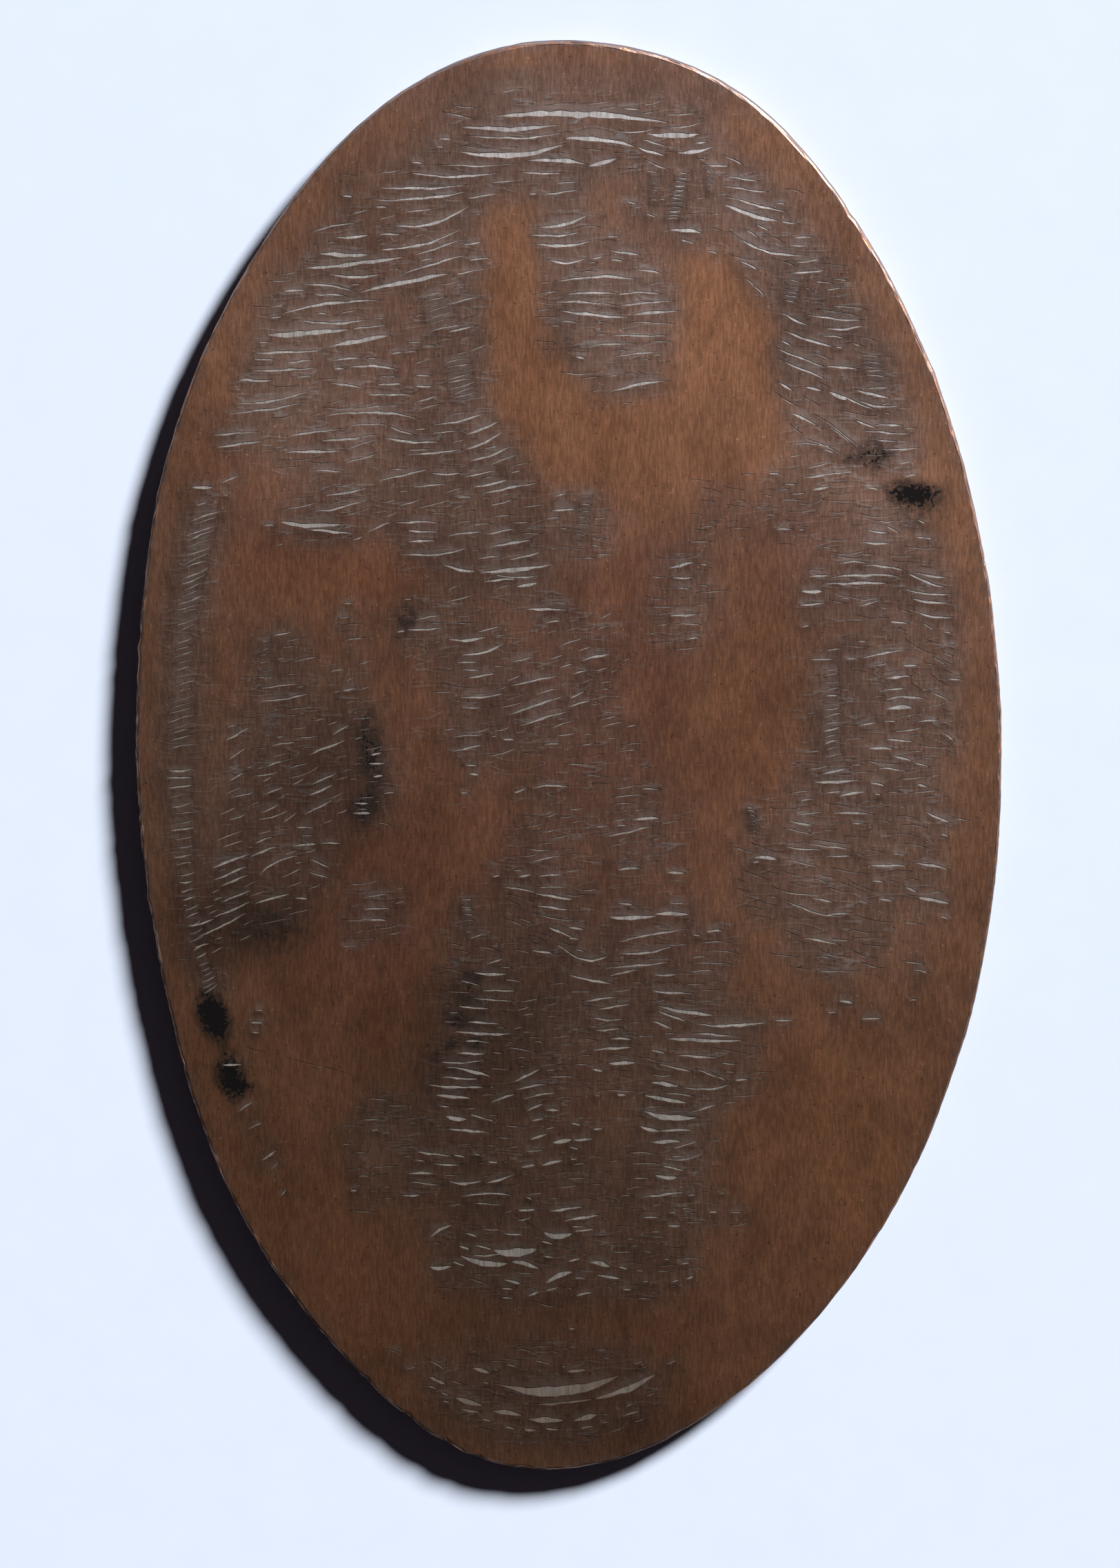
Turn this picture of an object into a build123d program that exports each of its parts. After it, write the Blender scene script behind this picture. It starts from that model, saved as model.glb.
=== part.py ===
"""Pressed oval token: a rolled zinc core inside a thin copper plating, torn open where it was stretched.

Row frame, millimetres: +Z up, +Y along the token, origin under the middle of its box, on the surface
it lies on. The plain rolled back faces up, and the face with the raised design lies down.
"""

import math
import os

from build123d import *

# Driving dimensions
LENGTH = 34.9
WIDTH = 21.0
BODY_THICKNESS = 0.60
RELIEF_HEIGHT = 0.10
PLATING_THICKNESS = 0.03
EDGE_RADIUS = 0.08

# Where the edge swells (+) or falls short (-) of a true ellipse: angle and spread in degrees, amount in mm
SWELLS = [
    (74, 0.17, 8),
    (104, 0.09, 12),
    (138, 0.20, 20),
    (212, -0.17, 30),
    (248, -0.22, 12),
    (264, 0.12, 7),
    (287, -0.48, 17),
    (310, -0.16, 16),
]
OUTLINE_STEP = 5

# Raised border of round beads
BORDER_INSET = 1.15
BEAD_RADIUS = 0.28
BEAD_COUNT = 92

# Raised tramcar, drawn along the token and seen from below
CAR_LENGTH = 15.0
CAR_HEIGHT = 4.4
CAR_CORNER = 0.6
WINDOW_COUNT = 6
WINDOW_SIZE = 1.50
WINDOW_PITCH = 2.2
WINDOW_RISE = 0.75
ROOF_LENGTH = 11.0
ROOF_HEIGHT = 1.0
WHEEL_RADIUS = 1.0
WHEEL_BORE = 0.35
WHEEL_SPREAD = 4.6
RAIL_LENGTH = 22.0
RAIL_WIDTH = 0.5
TIE_COUNT = 15
TIE_PITCH = 1.45
TIE_LENGTH = 0.8
WIRE_LENGTH = 18.0
POLE_LENGTH = 5.0
POLE_WIDTH = 0.40
POLE_RISE = 2.2
POLE_TILT = 27

# The widest tears in the plating of the back: x and y of the left tip, x and y of the right tip, how far the
# middle bows towards +Y, and width
TEARS = [
    (-1.80, 15.62, 2.50, 15.46, 0.14, 0.15),
    (-2.62, 15.38, -0.15, 15.43, -0.08, 0.11),
    (-2.70, 14.79, -0.05, 14.97, -0.20, 0.12),
    (-0.10, 15.09, 1.65, 14.87, 0.08, 0.13),
    (-1.05, 14.56, 0.48, 14.46, 0.05, 0.11),
    (1.78, 15.23, 3.20, 15.21, -0.07, 0.13),
    (2.62, 14.77, 3.45, 14.91, -0.08, 0.10),
    (3.70, 13.53, 5.10, 13.10, -0.06, 0.11),
    (-6.05, 12.31, -4.75, 12.29, -0.04, 0.11),
    (-6.40, 11.95, -4.00, 12.22, -0.04, 0.10),
    (-5.10, 11.35, -2.85, 11.83, 0.02, 0.12),
    (-7.30, 10.33, -5.25, 10.48, -0.03, 0.13),
    (-5.85, 10.03, -4.25, 10.33, 0.02, 0.11),
    (-7.00, 5.81, -5.45, 5.75, -0.07, 0.12),
    (1.80, -8.17, 2.95, -8.37, -0.02, 0.12),
    (1.80, -8.55, 3.15, -8.71, -0.10, 0.13),
    (-1.85, -11.99, -0.75, -11.95, -0.10, 0.20),
    (-2.70, -12.09, -1.45, -12.31, -0.12, 0.15),
    (-3.42, -12.39, -2.82, -12.37, -0.07, 0.16),
    (-0.56, -12.82, 0.12, -12.51, 0.05, 0.12),
    (-1.88, -15.25, 1.25, -15.07, -0.32, 0.26),
    (0.62, -15.67, 2.15, -15.03, -0.07, 0.13),
    (-1.88, -15.95, -1.10, -16.07, 0.00, 0.13),
    (-1.02, -16.16, -0.08, -16.18, -0.03, 0.14),
]

BACK_HEIGHT = RELIEF_HEIGHT + BODY_THICKNESS


def raw_edge_point(angle):
    """The edge of the token at an angle in degrees from +X, before it is centred on its box."""
    along_x = math.cos(math.radians(angle))
    along_y = math.sin(math.radians(angle))
    radius = 1 / math.hypot(along_x / (WIDTH / 2), along_y / (LENGTH / 2))
    for swell_angle, amount, spread in SWELLS:
        away = (angle - swell_angle + 180) % 360 - 180
        radius += amount * math.exp(-((away / spread) ** 2))
    return Vector(radius * along_x, radius * along_y)


def box_middle():
    """The middle of the raw outline's box."""
    points = [raw_edge_point(angle) for angle in range(360)]
    xs = [point.X for point in points]
    ys = [point.Y for point in points]
    return Vector((min(xs) + max(xs)) / 2, (min(ys) + max(ys)) / 2)


MIDDLE = box_middle()


def edge_point(angle, inset):
    """The centred edge at an angle, moved inwards by inset along the edge's own normal."""
    step = 0.5
    along = (raw_edge_point(angle + step) - raw_edge_point(angle - step)).normalized()
    inwards = Vector(-along.Y, along.X)
    return raw_edge_point(angle) - MIDDLE + inwards * inset


def outline(inset):
    """Adds the closed outline curve, moved in by inset, to the line being built."""
    return Spline(*[edge_point(angle, inset) for angle in range(0, 360, OUTLINE_STEP)], periodic=True)


def border_beads(inset):
    """Adds the border's beads, each smaller by inset all round, to the sketch being built."""
    with BuildLine(mode=Mode.PRIVATE):
        path = outline(BORDER_INSET)
    with Locations(*[path.position_at(i / BEAD_COUNT) for i in range(BEAD_COUNT)]):
        Circle(BEAD_RADIUS - inset)


def tramcar(inset):
    """Adds the tramcar on its rails, smaller by inset all round, to the sketch being built."""
    rail_level = -CAR_HEIGHT / 2 - WHEEL_RADIUS
    pole_level = CAR_HEIGHT / 2 + ROOF_HEIGHT + POLE_RISE / 2
    wire_level = pole_level + POLE_RISE / 2
    RectangleRounded(CAR_LENGTH - 2 * inset, CAR_HEIGHT - 2 * inset, CAR_CORNER - inset)
    with Locations((0, CAR_HEIGHT / 2)):
        Trapezoid(ROOF_LENGTH - 2 * inset, ROOF_HEIGHT - inset, 45, align=(Align.CENTER, Align.MIN))
    with Locations((0, WINDOW_RISE)), GridLocations(WINDOW_PITCH, 1, WINDOW_COUNT, 1):
        RectangleRounded(WINDOW_SIZE + 2 * inset, WINDOW_SIZE + 2 * inset, 0.25 + inset, mode=Mode.SUBTRACT)
    wheel_axes = [(-WHEEL_SPREAD, -CAR_HEIGHT / 2), (WHEEL_SPREAD, -CAR_HEIGHT / 2)]
    with Locations(*wheel_axes):
        Circle(WHEEL_RADIUS - inset)
    with Locations(*wheel_axes):
        Circle(WHEEL_BORE + inset, mode=Mode.SUBTRACT)
    with Locations((0, rail_level)):
        Rectangle(RAIL_LENGTH - 2 * inset, RAIL_WIDTH - 2 * inset)
    with Locations((0, rail_level)), GridLocations(TIE_PITCH, 1, TIE_COUNT, 1):
        Rectangle(RAIL_WIDTH - 2 * inset, TIE_LENGTH - inset, align=(Align.CENTER, Align.MAX))
    with Locations((0, wire_level)):
        Rectangle(WIRE_LENGTH - 2 * inset, RAIL_WIDTH - 2 * inset)
    with Locations((0, pole_level)):
        Rectangle(POLE_LENGTH, POLE_WIDTH - 2 * inset, rotation=POLE_TILT)


def token_metal(inset):
    """The whole token's metal, moved in by inset from every surface."""
    with BuildPart() as metal:
        with BuildSketch(Plane.XY.offset(RELIEF_HEIGHT + inset)):
            with BuildLine():
                outline(inset)
            make_face()
        extrude(amount=BODY_THICKNESS - 2 * inset)
        fillet(faces().filter_by(Axis.Z).edges(), EDGE_RADIUS - inset)
        with BuildSketch(Plane.XY.offset(inset)):
            border_beads(inset)
        extrude(amount=RELIEF_HEIGHT)
        with BuildSketch(Plane(origin=(0, 0, RELIEF_HEIGHT + inset), x_dir=(0, 1, 0), z_dir=(0, 0, -1))):
            tramcar(inset)
        extrude(amount=RELIEF_HEIGHT)
    return metal.part


# Zinc core: the host coin's own metal, rolled flat
with BuildPart() as zinc_core:
    add(token_metal(PLATING_THICKNESS))

# Copper plating: one skin all round the core, open at the tears in the back
with BuildPart() as copper_plating:
    add(token_metal(0))
    add(zinc_core.part, mode=Mode.SUBTRACT)
    with BuildSketch(Plane.XY.offset(BACK_HEIGHT - PLATING_THICKNESS)):
        for left_x, left_y, right_x, right_y, bow, width in TEARS:
            left, right = Vector(left_x, left_y), Vector(right_x, right_y)
            across = (right - left).normalized().rotate(Axis.Z, 90)
            middle = (left + right) / 2
            with BuildLine():
                Bezier(left, middle + across * (2 * bow + width), right)
                Bezier(right, middle + across * (2 * bow - width), left)
            make_face()
    extrude(amount=2 * PLATING_THICKNESS, mode=Mode.SUBTRACT)

os.makedirs("parts", exist_ok=True)
zinc_core.part.label = "zinc_core"
copper_plating.part.label = "copper_plating"
export_step(zinc_core.part, "parts/zinc_core.step")
export_step(copper_plating.part, "parts/copper_plating.step")
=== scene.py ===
"""Looks of the pressed oval token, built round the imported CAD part.

Tables and shape code are in millimetres, in the part's own frame: +Z up out of the plain torn back, +Y along
the token. finish_mesh turns them into metres.
"""

import math

import bpy
import numpy as np
from mathutils import Matrix, Vector
from mathutils.geometry import delaunay_2d_cdt


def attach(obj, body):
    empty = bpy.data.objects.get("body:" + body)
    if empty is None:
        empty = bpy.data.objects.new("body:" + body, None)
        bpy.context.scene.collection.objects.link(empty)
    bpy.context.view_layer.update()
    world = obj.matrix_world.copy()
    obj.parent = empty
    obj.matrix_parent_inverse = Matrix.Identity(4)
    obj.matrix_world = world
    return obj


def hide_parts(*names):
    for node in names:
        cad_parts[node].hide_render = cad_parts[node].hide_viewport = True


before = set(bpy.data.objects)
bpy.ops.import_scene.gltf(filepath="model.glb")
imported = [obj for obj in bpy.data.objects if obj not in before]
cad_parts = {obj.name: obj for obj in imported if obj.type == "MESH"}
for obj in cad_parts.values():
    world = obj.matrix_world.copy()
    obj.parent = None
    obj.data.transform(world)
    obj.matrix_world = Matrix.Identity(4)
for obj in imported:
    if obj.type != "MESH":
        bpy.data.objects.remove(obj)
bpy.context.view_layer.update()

# ---------------------------------------------------------------- dimensions, as in the CAD part
LENGTH = 34.9
WIDTH = 21.0
BODY_THICKNESS = 0.60
RELIEF_HEIGHT = 0.10
SKIN = 0.012  # the plating as it looks; the CAD part has 0.03
EDGE_RADIUS = 0.08
BACK = RELIEF_HEIGHT + BODY_THICKNESS

# Where the edge leaves a true ellipse: angle and spread in degrees, amount in mm
SWELLS = [
    (74, 0.17, 8), (104, 0.09, 12), (138, 0.2, 20), (212, -0.17, 30), (248, -0.22, 12), (264, 0.12, 7),
    (287, -0.48, 17), (310, -0.16, 16),
]

# Small nicks in the edge, given the same way
NICKS = [
    (252.2, -0.05, 0.35), (254.5, 0.03, 1.2), (256.4, -0.07, 0.4), (258.2, 0.03, 1.0), (259.9, -0.06, 0.35),
    (261.4, 0.02, 0.8), (262.7, -0.05, 0.3), (266.5, -0.04, 0.6), (115.0, -0.02, 0.4), (63.0, -0.03, 0.5),
    (47.0, 0.02, 0.6), (26.0, -0.02, 0.4), (303.0, -0.02, 0.5),
]

# ---------------------------------------------------------------- the tears in the plating
# Each tear, in hundredths of a mm: x and y of its left tip, x and y of its right tip, how far its middle
# bows up, and its width
TOP_ARC = [
    (-180, 1552, 250, 1536, 14, 15), (-262, 1528, -15, 1533, -8, 11), (-245, 1508, 0, 1517, -12, 6),
    (-270, 1470, -5, 1488, -20, 12), (-10, 1500, 165, 1478, 8, 13), (-105, 1447, 48, 1437, 5, 11),
    (50, 1434, 115, 1453, -2, 10), (-115, 1420, -15, 1417, -2, 7), (178, 1514, 320, 1512, -7, 13),
    (300, 1490, 335, 1492, -2, 6), (262, 1468, 345, 1482, -8, 10), (175, 1498, 235, 1483, -1, 6),
    (168, 1480, 230, 1460, -3, 9), (175, 1455, 245, 1426, -3, 5), (-325, 1438, -130, 1440, -5, 5),
    (-380, 1418, -170, 1418, -10, 8), (-315, 1500, -280, 1498, 0, 7), (-320, 1480, -300, 1479, 0, 5),
    (-380, 1442, -350, 1440, 0, 5), (125, 1572, 170, 1570, 0, 5), (-170, 1608, -110, 1618, 0, 3),
    (328, 1438, 385, 1436, -2, 6), (185, 1422, 215, 1420, 0, 5), (-190, 1392, -130, 1400, 0, 5),
    (-30, 1392, 30, 1397, 0, 5), (-95, 1366, -75, 1368, 0, 5), (-62, 1366, 30, 1376, 0, 6),
    (130, 1350, 165, 1343, 0, 5), (185, 1320, 212, 1312, 0, 5), (-230, 1320, -210, 1318, 0, 4),
]
UPPER_LEFT = [
    (-460, 1382, -235, 1390, -6, 8), (-495, 1355, -240, 1375, -11, 9), (-545, 1362, -520, 1360, 0, 7),
    (-465, 1335, -435, 1335, 0, 6), (-398, 1325, -330, 1332, -2, 6), (-445, 1296, -240, 1340, -25, 8),
    (-245, 1358, -170, 1368, -2, 6), (-565, 1262, -480, 1268, -2, 8), (-460, 1270, -400, 1270, 0, 6),
    (-465, 1233, -255, 1285, -15, 9), (-375, 1220, -255, 1258, -2, 6), (-605, 1224, -475, 1222, -4, 11),
    (-640, 1188, -400, 1215, -4, 10), (-580, 1178, -445, 1177, -12, 8), (-400, 1175, -245, 1220, 2, 7),
    (-360, 1205, -325, 1212, 0, 5), (-270, 1175, -200, 1188, -1, 6), (-240, 1207, -190, 1213, 0, 6),
    (-260, 1243, -210, 1252, 0, 6), (-645, 1150, -510, 1130, 5, 7), (-510, 1128, -285, 1176, 2, 12),
    (-685, 1132, -635, 1136, 0, 7), (-625, 1124, -535, 1120, 3, 6), (-690, 1078, -445, 1110, 10, 9),
    (-670, 1066, -480, 1066, -10, 9), (-470, 1066, -445, 1068, 0, 4), (-730, 1027, -525, 1042, -3, 13),
    (-520, 1042, -440, 1053, 0, 6), (-760, 985, -585, 993, -4, 8), (-585, 997, -425, 1027, 2, 11),
    (-715, 1095, -685, 1097, 0, 5), (-720, 1068, -690, 1072, 0, 5), (-750, 1010, -720, 1010, 0, 5),
    (-610, 1080, -575, 1078, 0, 5), (-340, 1035, -255, 1055, 0, 5), (-290, 1036, -220, 1050, -1, 7),
    (-295, 1102, -210, 1120, 0, 5), (-280, 1138, -250, 1144, 0, 4), (-760, 968, -710, 968, -1, 7),
    (-675, 962, -620, 968, -2, 8), (-770, 943, -610, 950, -5, 8), (-580, 965, -500, 973, 0, 6),
    (-565, 946, -538, 946, 0, 7), (-530, 950, -410, 945, 4, 8), (-795, 920, -715, 920, -3, 7),
    (-660, 925, -620, 930, 0, 5), (-460, 908, -405, 910, -1, 8), (-455, 928, -415, 927, 0, 4),
    (-575, 914, -490, 900, -2, 7), (-485, 885, -380, 883, 0, 8), (-370, 905, -330, 905, -2, 9),
    (-370, 930, -330, 930, 0, 5), (-805, 897, -790, 897, 0, 5), (-810, 862, -610, 898, -10, 8),
    (-830, 837, -640, 866, -5, 7), (-400, 985, -365, 990, 0, 5), (-390, 1010, -350, 1012, 0, 4),
    (-430, 982, -398, 988, 0, 5),
]
LEFT = [
    (-860, 787, -750, 795, -2, 7), (-855, 757, -740, 772, -2, 8), (-595, 830, -355, 823, 15, 8),
    (-680, 783, -550, 802, 0, 7), (-545, 805, -440, 812, 3, 5), (-430, 808, -370, 787, -2, 5),
    (-595, 773, -465, 787, -2, 7), (-445, 782, -310, 771, -6, 8), (-690, 745, -540, 750, -1, 8),
    (-535, 753, -460, 778, -1, 5), (-540, 720, -465, 742, -3, 6), (-400, 737, -255, 753, -1, 7),
    (-250, 752, -162, 795, -5, 7), (-330, 812, -200, 840, -5, 7), (-250, 788, -170, 820, -2, 7),
    (-330, 792, -265, 798, 0, 5), (-240, 725, -140, 760, -4, 7), (-200, 710, -120, 742, 0, 4),
    (-620, 702, -545, 700, -2, 7), (-590, 642, -485, 662, -6, 8), (-630, 603, -480, 635, -8, 7),
    (-465, 673, -340, 703, 2, 7), (-375, 662, -295, 670, 0, 6), (-330, 695, -260, 696, -2, 7),
    (-258, 685, -170, 702, 0, 6), (-230, 662, -150, 680, -2, 9), (-210, 646, -75, 672, 0, 7),
    (-270, 636, -235, 638, 0, 5), (-700, 578, -545, 572, -7, 12), (-640, 558, -520, 550, 0, 9),
    (-740, 568, -710, 570, 0, 6), (-485, 552, -430, 576, 2, 6), (-420, 576, -310, 575, 1, 6),
    (-395, 557, -310, 555, -3, 7), (-390, 530, -320, 533, -1, 7), (-412, 502, -245, 517, -12, 8),
    (-298, 543, -205, 557, -1, 7), (-200, 546, -130, 562, 1, 6), (-205, 513, -90, 535, 0, 7),
    (-310, 477, -225, 460, -5, 9), (-220, 490, -155, 495, 0, 6), (-140, 486, -70, 505, -1, 7),
    (-215, 458, -40, 477, -6, 10), (-205, 433, -130, 440, 0, 7), (-175, 450, -75, 450, -6, 8),
    (-125, 422, -75, 432, -2, 9), (-910, 660, -860, 660, 0, 9), (-840, 670, -795, 690, 0, 6),
    (-900, 615, -870, 625, 0, 5), (-835, 642, -820, 640, 0, 5), (-105, 368, 0, 367, -2, 7),
    (-40, 385, 0, 380, 0, 5), (-60, 332, -20, 340, 0, 6), (-40, 605, 15, 610, 0, 7),
    (-35, 638, 0, 648, 0, 5), (-55, 585, -20, 590, 0, 5), (-720, 303, -670, 312, -2, 6),
    (-760, 140, -630, 162, -3, 7), (-745, 175, -650, 188, -2, 5), (-830, 48, -772, 80, 0, 6),
    (-828, 80, -800, 85, 0, 4), (-820, 2, -782, 30, 0, 5), (-720, 33, -662, 45, 1, 5),
    (-630, 12, -540, 50, 0, 6), (-570, 62, -532, 85, 0, 5), (-480, 12, -448, 20, 0, 11),
    (-415, 310, -395, 315, 0, 6), (-378, 338, -310, 353, 0, 6), (-390, 318, -300, 322, -2, 6),
    (-290, 295, -200, 300, -5, 8), (-260, 257, -155, 285, -8, 8), (-270, 238, -215, 240, 0, 5),
    (-262, 222, -212, 220, -1, 5), (-250, 202, -180, 212, -3, 7), (-265, 156, -160, 165, -8, 8),
    (-260, 130, -205, 130, -2, 5), (-290, 55, -200, 65, 0, 5), (-290, 22, -210, 38, -1, 6),
    (-140, 238, -85, 253, 0, 5), (-140, 182, -20, 208, -1, 7), (-80, 160, -30, 175, 0, 5),
    (-152, 110, -10, 158, -1, 8), (-120, 85, 5, 122, 0, 7), (-160, 52, -130, 52, 0, 6),
    (-60, 40, -20, 42, 0, 5), (-545, 378, -520, 382, 0, 5), (-555, 345, -525, 348, 0, 4),
    (-545, 168, -515, 176, 0, 5),
]
UPPER_RIGHT = [
    (245, 1280, 320, 1272, 4, 10), (270, 1258, 305, 1248, 0, 6), (-72, 1290, 45, 1318, -12, 9),
    (-92, 1270, 25, 1276, -7, 8), (-88, 1250, 52, 1256, -11, 9), (-60, 1215, 42, 1215, -13, 8),
    (100, 1234, 172, 1222, -3, 8), (100, 1210, 132, 1207, 0, 5), (55, 1210, 85, 1218, 0, 5),
    (160, 1186, 220, 1178, 0, 7), (-35, 1155, 175, 1160, 10, 8), (-15, 1126, 120, 1126, 4, 7),
    (120, 1126, 225, 1127, 3, 7), (-35, 1108, 120, 1100, 2, 7), (120, 1100, 255, 1110, 0, 6),
    (-20, 1088, 150, 1072, -5, 9), (150, 1075, 266, 1086, 3, 8), (-20, 1062, 25, 1058, 0, 5),
    (105, 1028, 235, 1028, -2, 7), (20, 1000, 160, 1008, 1, 6), (110, 978, 210, 988, -1, 6),
    (15, 976, 40, 972, 0, 7), (95, 890, 245, 918, 5, 8), (90, 930, 125, 932, 0, 4),
    (90, 1265, 125, 1266, 0, 5), (335, 1230, 360, 1225, 0, 4), (375, 1408, 460, 1398, 1, 6),
    (375, 1387, 480, 1373, -2, 7), (378, 1362, 522, 1326, -3, 8), (370, 1345, 510, 1302, -6, 11),
    (512, 1300, 552, 1296, 0, 6), (498, 1346, 522, 1343, 0, 5), (385, 1282, 575, 1222, -22, 8),
    (425, 1282, 460, 1262, 0, 6), (450, 1295, 485, 1280, 0, 5), (538, 1262, 588, 1264, 0, 5),
    (530, 1243, 582, 1242, 0, 5), (545, 1205, 605, 1212, -2, 6), (530, 1180, 615, 1186, -5, 7),
    (620, 1138, 660, 1142, 0, 4), (410, 1205, 455, 1186, 2, 8), (425, 1166, 475, 1114, 3, 5),
    (510, 1086, 578, 1054, -4, 8), (572, 1078, 705, 1066, -4, 7), (620, 1046, 708, 1052, -5, 7),
    (520, 1042, 642, 1002, -7, 9), (510, 1018, 540, 1002, 0, 6), (605, 1028, 670, 1022, 0, 5),
    (642, 1000, 662, 998, 0, 5), (502, 998, 620, 952, -3, 8), (622, 955, 700, 948, -2, 7),
    (498, 978, 630, 920, -3, 7), (505, 916, 540, 896, 0, 7), (570, 904, 610, 896, -1, 8),
    (630, 892, 670, 874, 0, 10), (662, 882, 735, 852, -2, 7), (655, 930, 675, 918, 0, 6),
    (695, 898, 772, 880, -4, 8), (720, 902, 770, 904, -2, 6), (702, 874, 800, 862, -12, 7),
    (750, 860, 780, 866, 0, 4), (695, 826, 745, 806, -3, 7), (740, 814, 805, 812, -1, 7),
    (710, 799, 830, 793, -2, 6), (720, 785, 792, 774, -3, 6), (755, 755, 845, 758, -2, 6),
    (535, 840, 600, 810, 3, 8), (590, 840, 700, 762, 2, 4), (615, 820, 695, 755, 2, 4),
    (525, 766, 640, 760, 3, 5), (612, 754, 642, 744, 1, 6), (575, 780, 660, 742, 2, 4),
    (560, 686, 690, 704, -3, 8), (590, 656, 632, 666, -1, 7), (580, 708, 640, 724, 1, 5),
    (720, 662, 748, 658, 0, 6), (810, 688, 842, 694, 0, 5), (795, 720, 830, 725, 0, 5),
    (480, 695, 510, 696, 0, 5),
]
RIGHT = [
    (720, 562, 770, 554, -2, 8), (700, 530, 778, 527, 0, 7), (765, 572, 800, 552, 0, 5),
    (842, 585, 862, 576, 0, 9), (840, 542, 880, 540, 0, 6), (650, 480, 720, 480, 2, 6),
    (705, 472, 815, 458, 8, 7), (820, 456, 908, 424, -5, 8), (580, 446, 630, 450, 0, 7),
    (630, 442, 800, 446, 8, 8), (565, 412, 612, 412, -1, 10), (610, 428, 770, 430, 3, 9),
    (835, 458, 920, 446, -3, 8), (805, 422, 922, 408, -10, 8), (830, 396, 922, 386, -7, 8),
    (835, 370, 928, 352, -12, 9), (855, 336, 885, 318, 0, 6), (902, 314, 925, 312, 0, 8),
    (560, 378, 618, 384, -1, 7), (560, 324, 582, 330, 0, 5), (655, 395, 682, 394, 0, 5),
    (700, 374, 755, 392, 0, 4), (778, 338, 822, 334, 0, 8), (710, 250, 822, 270, 3, 7),
    (585, 247, 645, 248, 0, 6), (670, 248, 705, 250, 0, 5), (808, 232, 845, 234, 0, 10),
    (728, 230, 772, 238, 0, 5), (765, 202, 828, 206, 1, 8), (750, 168, 810, 178, 1, 7),
    (768, 148, 868, 150, 8, 8), (765, 126, 835, 130, 4, 11), (840, 97, 892, 102, -2, 7),
    (760, 98, 792, 98, 0, 6), (700, 87, 745, 96, 0, 5), (768, 54, 835, 47, 0, 8), (725, 33, 785, 30, 0, 8),
    (780, 14, 830, 2, 0, 7), (860, 180, 925, 148, -2, 5), (880, 255, 912, 234, 0, 5),
    (910, 202, 950, 199, 0, 5), (905, 72, 932, 52, 0, 5), (30, 242, 100, 260, 0, 7),
    (10, 210, 48, 220, 0, 6), (5, 152, 38, 168, 0, 6), (0, 130, 52, 146, 0, 6), (242, 466, 305, 480, 2, 9),
    (250, 446, 300, 446, -3, 7), (245, 352, 312, 356, 0, 8), (260, 332, 320, 330, 0, 5),
    (285, 296, 315, 300, 0, 6), (255, 422, 295, 416, 0, 5), (498, 562, 540, 562, 0, 6),
    (615, -28, 670, -16, -2, 9), (590, -48, 710, -44, -4, 9), (618, -76, 660, -72, 0, 7),
    (650, -86, 720, -72, 1, 8), (728, -52, 766, -60, 1, 7), (750, -18, 820, -24, 4, 7),
    (830, -4, 875, -16, 3, 6), (845, -56, 872, -62, 0, 9), (740, -78, 755, -80, 0, 6),
    (640, -126, 742, -130, 4, 8), (560, -96, 592, -90, 0, 6), (530, -142, 595, -155, -1, 7),
    (522, -162, 585, -174, -1, 6), (552, -130, 615, -122, 0, 5), (680, -150, 720, -152, 0, 5),
    (865, -120, 922, -146, -2, 9), (900, -176, 920, -180, 0, 7), (866, -190, 874, -198, 0, 7),
    (445, -246, 462, -242, 0, 6), (452, -234, 505, -238, 3, 10), (512, -204, 620, -216, -2, 6),
    (580, -198, 690, -214, -2, 6), (620, -232, 685, -228, 0, 6), (520, -238, 605, -256, 0, 5),
    (728, -252, 818, -254, 1, 9), (835, -246, 922, -264, 4, 8), (785, -222, 818, -228, 0, 5),
    (815, -304, 845, -318, 0, 9), (850, -330, 922, -344, 0, 10), (520, -330, 680, -374, -16, 6),
    (590, -332, 642, -342, 0, 9), (595, -284, 630, -296, 0, 5), (735, -290, 765, -292, 0, 6),
    (700, -336, 730, -345, 0, 6), (750, -332, 788, -340, 0, 7), (630, -372, 685, -368, 0, 6),
    (570, -428, 660, -446, 0, 7), (600, -474, 662, -482, 0, 5), (600, -510, 705, -508, -2, 4),
    (710, -626, 760, -624, 0, 7), (628, -610, 652, -608, 0, 6), (655, -582, 690, -586, 0, 10),
    (835, -505, 872, -512, 0, 6), (825, -580, 845, -578, 0, 8), (900, -375, 925, -382, 0, 6),
]
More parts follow.
